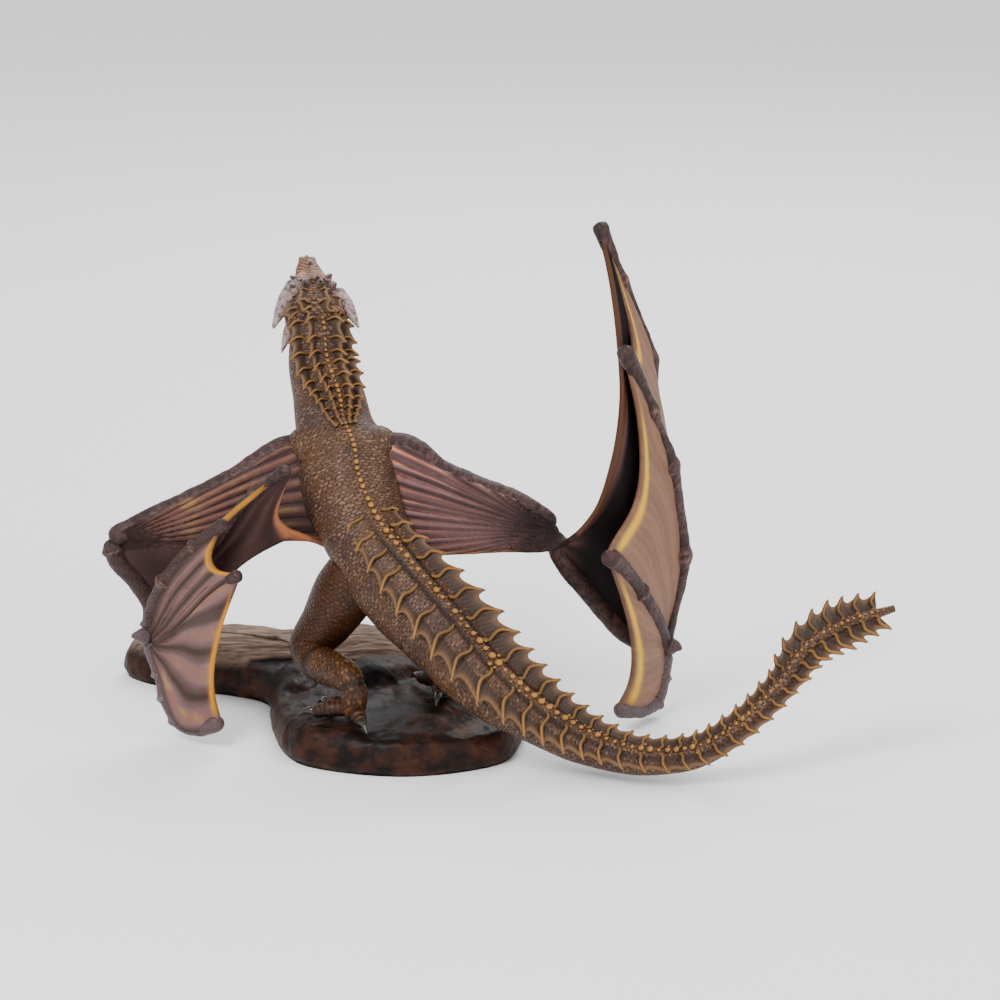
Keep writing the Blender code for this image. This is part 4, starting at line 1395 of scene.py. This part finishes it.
def arm_line(wing, share):
    """A row of the wing's leading bones: shoulder to elbow, to wrist, to the first finger's tip."""
    if share < ELBOW_SHARE:
        return blend_rows(wing.arm, share / ELBOW_SHARE)
    if share < WRIST_SHARE:
        return blend_rows(wing.forearm, (share - ELBOW_SHARE) / (WRIST_SHARE - ELBOW_SHARE))
    return blend_rows(wing.fingers[0], (share - WRIST_SHARE) / (1 - WRIST_SHARE))


def wing_sheet(name, cells, point_at, fold_at, sizes, finish, wing):
    """A wing skin: a grid wrapped on point_at(along, across), raised by its folds and given its thickness.

    fold_at(along, across, point) gives the height in metres, its relief, its bright edge and its shade.
    """
    bm = bmesh.new()
    relief = bm.verts.layers.float.new("relief")
    edges = bm.verts.layers.float.new("edge")
    tones = bm.verts.layers.float.new("tone")
    bmesh.ops.create_grid(bm, x_segments=cells[0], y_segments=cells[1], size=0.5)
    places = {}
    for vert in bm.verts:
        places[vert] = (vert.co.x + 0.5, vert.co.y + 0.5)
        vert.co = point_at(*places[vert])
    bm.normal_update()
    for vert, (along, across) in places.items():
        height, vert[relief], vert[edges], vert[tones] = fold_at(along, across, vert.co)
        vert.co += vert.normal * height
    piece = finished(name, bm, finish, "wings", f"{wing.side}_wing")
    return thickened(piece, sizes.membrane_thickness)


def arm_sheet(wing, sizes, finish):
    """The skin between the body, the arm and the first finger, its folds running in to the elbow."""
    elbow = at(*wing.arm[-1][:3])
    shoulder_way = at(*wing.arm[0][:3]) - elbow
    fold_count = 96
    # The skin wraps the back of the upper arm, up to the band of scales along its top
    wrap = Vector((0.0, -0.95, 0.45)) * UNIT

    def point_at(along, across):
        along = along * 0.985
        x, y, z, radius = arm_line(wing, along)
        bone = at(x, y, z) + wrap * radius * (1 - ease(along, ELBOW_SHARE - 0.04, ELBOW_SHARE + 0.02))
        rim = at(*blend_rows(wing.edge, along))
        point = bone.lerp(rim, across)
        slack = min(1.0, max(0.0, (along - SAG_START) / (1 - SAG_START)))
        point.z -= wing.sag * UNIT * math.sin(math.pi * across ** 1.5) * math.sin(math.pi * slack) ** 1.5
        return point

    def fold_at(along, across, point):
        way = point - elbow
        angle = math.atan2(way.cross(shoulder_way).y, way.dot(shoulder_way))
        bend = rough(point, 0.07, 2)
        turn = (angle * fold_count + bend * 3.2) / math.tau
        wave = abs(math.sin(math.pi * turn))
        small = abs(math.sin(math.pi * turn * 2.7))
        own = 0.5 + 0.5 * noise.noise(Vector((turn * 0.9, way.length / 0.05, 4.0)))
        ridge = (0.55 + 0.9 * own) * (1 - wave ** 0.8) + 0.22 * (1 - small)
        reach = ease(way.length, 0.004, 0.030)
        inner = 1 - ease(along, ELBOW_SHARE - 0.02, ELBOW_SHARE + 0.10)
        soft = 0.5 + 0.5 * math.cos(math.tau * 3 * across + 2 * bend)
        height = ridge * inner * reach + 0.35 * soft * (1 - inner)
        hem = ease(across, 0.90, 0.985)
        bright = hem * (0.35 + 0.65 * (1 - inner)) + 0.35 * bell(across, 0.94, 0.04) * inner
        # Painted shade: past the elbow the hollow between forearm and fingers is darkened, partly for dark
        # paint and partly for the shade that falls in it.
        pocket = (1 - inner) * (1 - ease(across, 0.86, 0.985))
        fade = 1 - ease(across, 0.93, 1.0)
        # The finish paints low relief in the fold valleys as shade and high relief on the ridges as a
        # highlight.
        relief = (0.14 + 0.9 * height) * inner + (0.25 + 0.3 * soft) * (1 - inner)
        # Painted shade: the skin darkens towards the elbow, where its folds run together.
        dim = 0.75 * ease(way.length, 0.045, 0.015) if inner > 0.5 else 0.0
        return (height - 0.4) * sizes.fold_depth * fade, relief, bright, max(dim, pocket * wing.pocket)

    return wing_sheet(f"{wing.side}_arm_skin", ARM_SKIN_GRID, point_at, fold_at, sizes, finish, wing)


def finger_sheet(wing, index, sizes, finish):
    """The skin between two fingers, hollowed at its trailing edge, with long folds beside the fingers."""
    hollow, covers = wing.panels[index]

    def covered(finger, reach, cover):
        x, y, z, radius = blend_rows(finger, reach)
        return at(x, y - cover * radius * (1 - ease(reach, 0.80, 0.94)), z)

    def point_at(along, across):
        reach = 0.05 + 0.93 * along * (1 - hollow * 4 * across * (1 - across) * along)
        first = covered(wing.fingers[index], reach, covers[0])
        return first.lerp(covered(wing.fingers[index + 1], reach, covers[1]), across)

    def fold_at(along, across, point):
        bend = 0.25 * rough(point, 0.04, 2)
        wave = 0.5 + 0.5 * math.cos(math.tau * (3.5 * across + bend))
        fine = 0.5 + 0.5 * math.cos(math.tau * (13 * across + 3 * bend))
        height = wave ** 1.6 * 0.8 + 0.2 * fine
        hem = ease(along, 0.80, 0.97)
        inset = (point_at(1.0, across) - point).length
        stripe = bell(inset, *wing.stripe) * ease(across, 0.04, 0.26) * ease(across, 0.98, 0.86)
        relief = 0.45 + wing.folds * (wave - 0.5) + 0.12 * fine
        shade = 0.30 * (1 - ease(along, 0.05, 0.4)) + 0.25 * ease(inset, 0.0020, 0.0008)
        return (height - 0.4) * sizes.fold_depth * wing.folds * (1 - hem), relief, stripe, shade

    return wing_sheet(f"{wing.side}_panel_{index + 1}", PANEL_GRID, point_at, fold_at, sizes, finish, wing)


def wing_rod(bm, rows, count, sides, sizes, knobs=(), slim=1.0):
    """A scaled bone of the wing, swollen at its knobs."""
    slimmed = [(*row[:3], row[3] * slim) for row in rows[:-1]] + [rows[-1]]
    line = limb_line(slimmed, count, rounded=(True, True))
    scales = ScaleRows(line, sizes.scale_length * 0.85, sizes.scale_length * 1.0)

    def surface(stop, turn, point):
        height, tone = scales.at(stop, turn, point)
        swell = sum(bell(stop.share, knob, 0.020) for knob in knobs)
        lumps = rough(point, 0.008, 2)
        rise = (height - 0.5) * sizes.scale_depth * 0.75 + 0.0013 * swell + 0.0004 * lumps
        return rise, height * (0.75 + 0.3 * swell), tone * 0.8

    pour_in(bm, drape(line, sides, surface))


class DRAGON_OT_wings(bpy.types.Operator):
    """Models the two wings: scaled bones, folded skins and thumb claws"""

    bl_idname = "dragon.wings"
    bl_label = "Wings"
    bl_options = {"REGISTER", "UNDO"}

    def execute(self, context):
        colours = context.scene.dragon_colours
        sizes = context.scene.dragon_sizes
        black = gloss_finish("black_thumbs", (0.014, 0.010, 0.010), (0.06, 0.045, 0.04), 0.18)
        for wing in WINGS:
            skin, panels = self.finishes(colours, wing.side)
            node = f"{wing.side}_wing"
            bones = new_bmesh()
            wing_rod(bones, wing.arm, 120, 50, sizes)
            wing_rod(bones, wing.forearm, 80, 36, sizes, knobs=(0.12, 0.9), slim=0.95)
            for finger, (knobs, slim) in list(zip(wing.fingers, wing.rods))[:3]:
                wing_rod(bones, finger, 130, 22, sizes, knobs, slim)
            finished(f"{node}_bones", bones, rod_finish(colours), "wings", node)
            foot = new_bmesh()
            wing_rod(foot, wing.fingers[3], 120, 30, sizes, *wing.rods[3])
            wing_rod(foot, wing.thumb, 30, 24, sizes)
            finished(f"{node}_foot", foot, leather_finish(colours), "wings", node)
            claw = new_bmesh()
            curved_horn(claw, wing.thumb[-2][:3], Vector(wing.thumb[-1][:3]), 2.4, sides=14, count=18)
            finished(f"{wing.side}_thumb_claw", claw, black, "wings", node)
            arm_sheet(wing, sizes, skin)
            for index in range(len(wing.panels)):
                finger_sheet(wing, index, sizes, panels)
        return {"FINISHED"}

    def finishes(self, colours, side):
        """The paint of a wing's large skin and of its panels: the right wing's are paler."""
        if side == "left":
            skin = membrane_finish(
                "left_membrane", (0.012, 0.0035, 0.003), darker(colours.mauve, 0.95),
                darker(colours.ember, 0.7), darker(colours.ember, 0.9), warmth=0.40,
            )
            panels = membrane_finish(
                "left_panels", darker(colours.tan, 0.14), (0.140, 0.078, 0.078), darker(colours.ember, 0.8),
                (0.50, 0.20, 0.010), warmth=0.6,
            )
            return skin, panels
        # The right skin's near-black deep colour paints the shade in its deep hollow past the elbow, over
        # the dark paint there.
        skin = membrane_finish(
            "right_membrane", darker(colours.wing_dark, 0.45), darker(colours.mauve, 3.2),
            darker(colours.ember, 2.2), darker(colours.ember, 0.20), warmth=1.9,
        )
        panels = membrane_finish(
            "right_panels", darker(colours.tan, 0.30), darker(colours.tan, 0.92), darker(colours.ember, 0.8),
            tint(colours.yellow), warmth=0.6,
        )
        return skin, panels


def outline_at(share):
    """A point of the base's outline and the way in from it, at a share of the way round."""
    closed = BASE_OUTLINE[-1:] + BASE_OUTLINE + BASE_OUTLINE[:2]
    spans = len(BASE_OUTLINE)

    def spot(part):
        return Vector(blend_rows(closed, (1 + part % 1.0 * spans) / (len(closed) - 1)))

    along = (spot(share + 0.004) - spot(share - 0.004)).normalized()
    return spot(share) * UNIT, Vector((-along.y, along.x))


def lump_height(x, y, lump):
    """How high one lump of the rock rises at a point, from 0 at its rim."""
    lump_x, lump_y, long, wide, heading, high = lump
    turn = math.radians(heading)
    dx, dy = x / UNIT - lump_x, y / UNIT - lump_y
    u = (dx * math.cos(turn) + dy * math.sin(turn)) / long
    v = (dy * math.cos(turn) - dx * math.sin(turn)) / wide
    return high * max(0.0, 1 - (u * u + v * v) ** 1.5)


def ground(x, y):
    """The height of the rock's top at a point, how much of it is log, and how firm it is under the feet."""
    heights = [lump_height(x, y, lump) for lump in LUMPS]
    rise = max(heights)
    log = ease(max(heights[:len(LOGS)]), 0.5, 2.5)
    wobble = 1.6 * noise.noise(Vector((x, y, 0.0)) / (15 * UNIT)) - 1.6
    stands = min(1.0, min(math.hypot(x / UNIT - fx, y / UNIT - fy) / size for fx, fy, size in FLATS) ** 6)
    return BASE_THICKNESS + (rise + wobble) * stands * UNIT, log, stands


class DRAGON_OT_base(bpy.types.Operator):
    """Models the rock and logs that the dragon stands on"""

    bl_idname = "dragon.base"
    bl_label = "Rock base"
    bl_options = {"REGISTER", "UNDO"}

    sides = 440
    under_rings = 3
    wall_rings = 28
    top_rings = 70

    def execute(self, context):
        colours = context.scene.dragon_colours
        rings = self.under_rings + self.wall_rings + self.top_rings
        bm = new_bmesh()
        relief, logs = paint_layers(bm)
        levels = bm.verts.layers.int.new("ring")
        middle = Vector(BASE_MIDDLE) * UNIT
        rounded = {}
        for vert, ring, turn in bent_grid(bm, rings, self.sides):
            vert[levels] = ring
            if ring in (0, rings + 1):
                height = 0.0 if ring == 0 else ground(middle.x, middle.y)[0]
                vert.co = (middle.x, middle.y, height)
                continue
            column = round(turn / math.tau * self.sides) % self.sides
            if column not in rounded:
                rounded[column] = outline_at(column / self.sides)
            vert.co, vert[logs] = self.spot(ring, *rounded[column], middle)
        bmesh.ops.remove_doubles(bm, verts=bm.verts, dist=WELD)
        bmesh.ops.recalc_face_normals(bm, faces=bm.faces)
        bm.normal_update()
        for vert in bm.verts:
            if vert[levels] > self.under_rings:
                depth, vert[relief] = self.carving(vert.co, vert[logs], vert[levels])
                vert.co += vert.normal * depth
                vert.co.z = max(0.0, vert.co.z)
        bm.verts.layers.int.remove(levels)
        finish = rock_finish(
            "painted_rock", darker(colours.rock, 0.10), tint(colours.rock), (0.064, 0.019, 0.0085),
            darker(colours.timber, 0.25), tint(colours.timber),
        )
        finished("rock_base", bm, finish, "base", "base")
        return {"FINISHED"}

    def spot(self, ring, outline, inward, middle):
        """Where a ring crosses one line from the outline in to the middle, and how much of it is log."""
        rim = outline + inward * BASE_EDGE_ROUNDING
        if ring <= self.under_rings:
            flat = middle.lerp(outline + inward * BASE_FOOT_SETBACK, ring / self.under_rings)
            return Vector((flat.x, flat.y, 0.0)), 0.0
        if ring > self.under_rings + self.wall_rings:
            part = (ring - self.under_rings - self.wall_rings) / (self.top_rings + 1)
            flat = rim.lerp(middle, part)
            height, log, _ = ground(flat.x, flat.y)
            return Vector((flat.x, flat.y, height)), log
        rim_height, log, _ = ground(rim.x, rim.y)
        wall = [
            (BASE_FOOT_SETBACK, 0.0),
            (0.0, BASE_THICKNESS * 0.22),
            (BASE_EDGE_ROUNDING * 0.12, BASE_THICKNESS * 0.55),
            (BASE_EDGE_ROUNDING * 0.45, BASE_THICKNESS * 0.84),
            (BASE_EDGE_ROUNDING, rim_height),
        ]
        part = (ring - self.under_rings) / self.wall_rings
        setback, height = blend_rows(wall, part)
        flat = outline + inward * max(0.0, setback)
        return Vector((flat.x, flat.y, max(0.0, height))), log * ease(part, 0.6, 1.0)

    def carving(self, point, log, ring):
        """How deep the rock is cut at a point, and its relief: broken stone, or the long grain of a log."""
        ridges = noise.ridged_multi_fractal(point / 0.020, 0.9, 2.1, 4, 0.9, 2.0) - 1.0
        chips = rough(point, 0.006, 3)
        grain = rough(Vector((point.x * 0.12, point.y, point.z)), 0.0030, 3)
        wall = 1 - ease(ring, self.under_rings + self.wall_rings * 0.5, self.under_rings + self.wall_rings)
        stone = ridges * 0.0009 * (1 - 0.5 * wall) + chips * 0.00035
        depth = stone * (1 - log) + (grain * 0.0006 + ridges * 0.0003) * log
        on_stone = (0.5 + ridges * 0.35 + chips * 0.35) * (0.18 + 0.82 * wall)
        on_log = 0.5 + grain * 0.6
        return depth - 0.0004, min(1.0, max(0.0, on_stone * (1 - log) + on_log * log))


class DRAGON_OT_stage(bpy.types.Operator):
    """Sets up the pale floor, the soft lights and the camera"""

    bl_idname = "dragon.stage"
    bl_label = "Stage"
    bl_options = {"REGISTER", "UNDO"}

    def execute(self, context):
        scene = context.scene
        bm = bmesh.new()
        bmesh.ops.create_grid(bm, x_segments=1, y_segments=1, size=FLOOR_REACH)
        mesh = bpy.data.meshes.new("floor")
        bm.to_mesh(mesh)
        bm.free()
        paper = bpy.data.materials.new("studio_floor")
        paper.use_nodes = True
        paper.node_tree.nodes["Principled BSDF"].inputs["Base Color"].default_value = (
            *tint(scene.dragon_colours.floor), 1.0,
        )
        paper.node_tree.nodes["Principled BSDF"].inputs["Roughness"].default_value = 0.9
        mesh.materials.append(paper)
        floor = bpy.data.objects.new("floor", mesh)
        scene.collection.objects.link(floor)
        floor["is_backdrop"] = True
        sky = bpy.data.worlds.new("studio")
        sky.use_nodes = True
        sky.node_tree.nodes["Background"].inputs["Color"].default_value = (1.0, 1.0, 1.0, 1.0)
        sky.node_tree.nodes["Background"].inputs["Strength"].default_value = SKY_STRENGTH
        scene.world = sky
        for light in LIGHTS:
            self.light(*light)
        camera = bpy.data.objects.new("camera", bpy.data.cameras.new("camera"))
        camera.data.lens = VIEW_LENS
        back = Vector((0.0, -math.cos(VIEW_ELEVATION), math.sin(VIEW_ELEVATION)))
        camera.location = VIEW_TARGET + back * VIEW_DISTANCE
        camera.rotation_euler = (-back).to_track_quat("-Z", "Y").to_euler()
        scene.collection.objects.link(camera)
        scene.camera = camera
        return {"FINISHED"}

    def light(self, name, place, size, power):
        """One soft box, aimed at the statue."""
        lamp = bpy.data.lights.new(name, "AREA")
        lamp.shape = "SQUARE"
        lamp.size = size
        lamp.energy = power
        box = bpy.data.objects.new(name, lamp)
        box.location = place
        box.rotation_euler = (VIEW_TARGET - Vector(place)).to_track_quat("-Z", "Y").to_euler()
        bpy.context.scene.collection.objects.link(box)


STEPS = (
    DRAGON_OT_stage, DRAGON_OT_body, DRAGON_OT_beads, DRAGON_OT_crests, DRAGON_OT_head, DRAGON_OT_legs,
    DRAGON_OT_wings, DRAGON_OT_base,
)


class DRAGON_PT_panel(bpy.types.Panel):
    """Lists the pieces of the statue and the sizes and colours they take"""

    bl_label = "Dragon Statue"
    bl_idname = "DRAGON_PT_panel"
    bl_space_type = "VIEW_3D"
    bl_region_type = "UI"
    bl_category = "Dragon"

    def draw(self, context):
        for step in STEPS:
            self.layout.operator(step.bl_idname)
        for group in (context.scene.dragon_sizes, context.scene.dragon_colours):
            box = self.layout.box()
            for name in group.__annotations__:
                box.prop(group, name)


CLASSES = (DragonSizes, DragonColours, *STEPS, DRAGON_PT_panel)


def register():
    for made in CLASSES:
        bpy.utils.register_class(made)
    bpy.types.Scene.dragon_sizes = bpy.props.PointerProperty(type=DragonSizes)
    bpy.types.Scene.dragon_colours = bpy.props.PointerProperty(type=DragonColours)


def unregister():
    del bpy.types.Scene.dragon_sizes
    del bpy.types.Scene.dragon_colours
    for made in reversed(CLASSES):
        bpy.utils.unregister_class(made)


def main():
    register()
    for step in STEPS:
        group, name = step.bl_idname.split(".")
        getattr(getattr(bpy.ops, group), name)()
    boxes = {"cad": CAD_BOX, "visual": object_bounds()}
    {name: [list(corner) for corner in box] for name, box in boxes.items()}


if __name__ == "__main__":
    main()
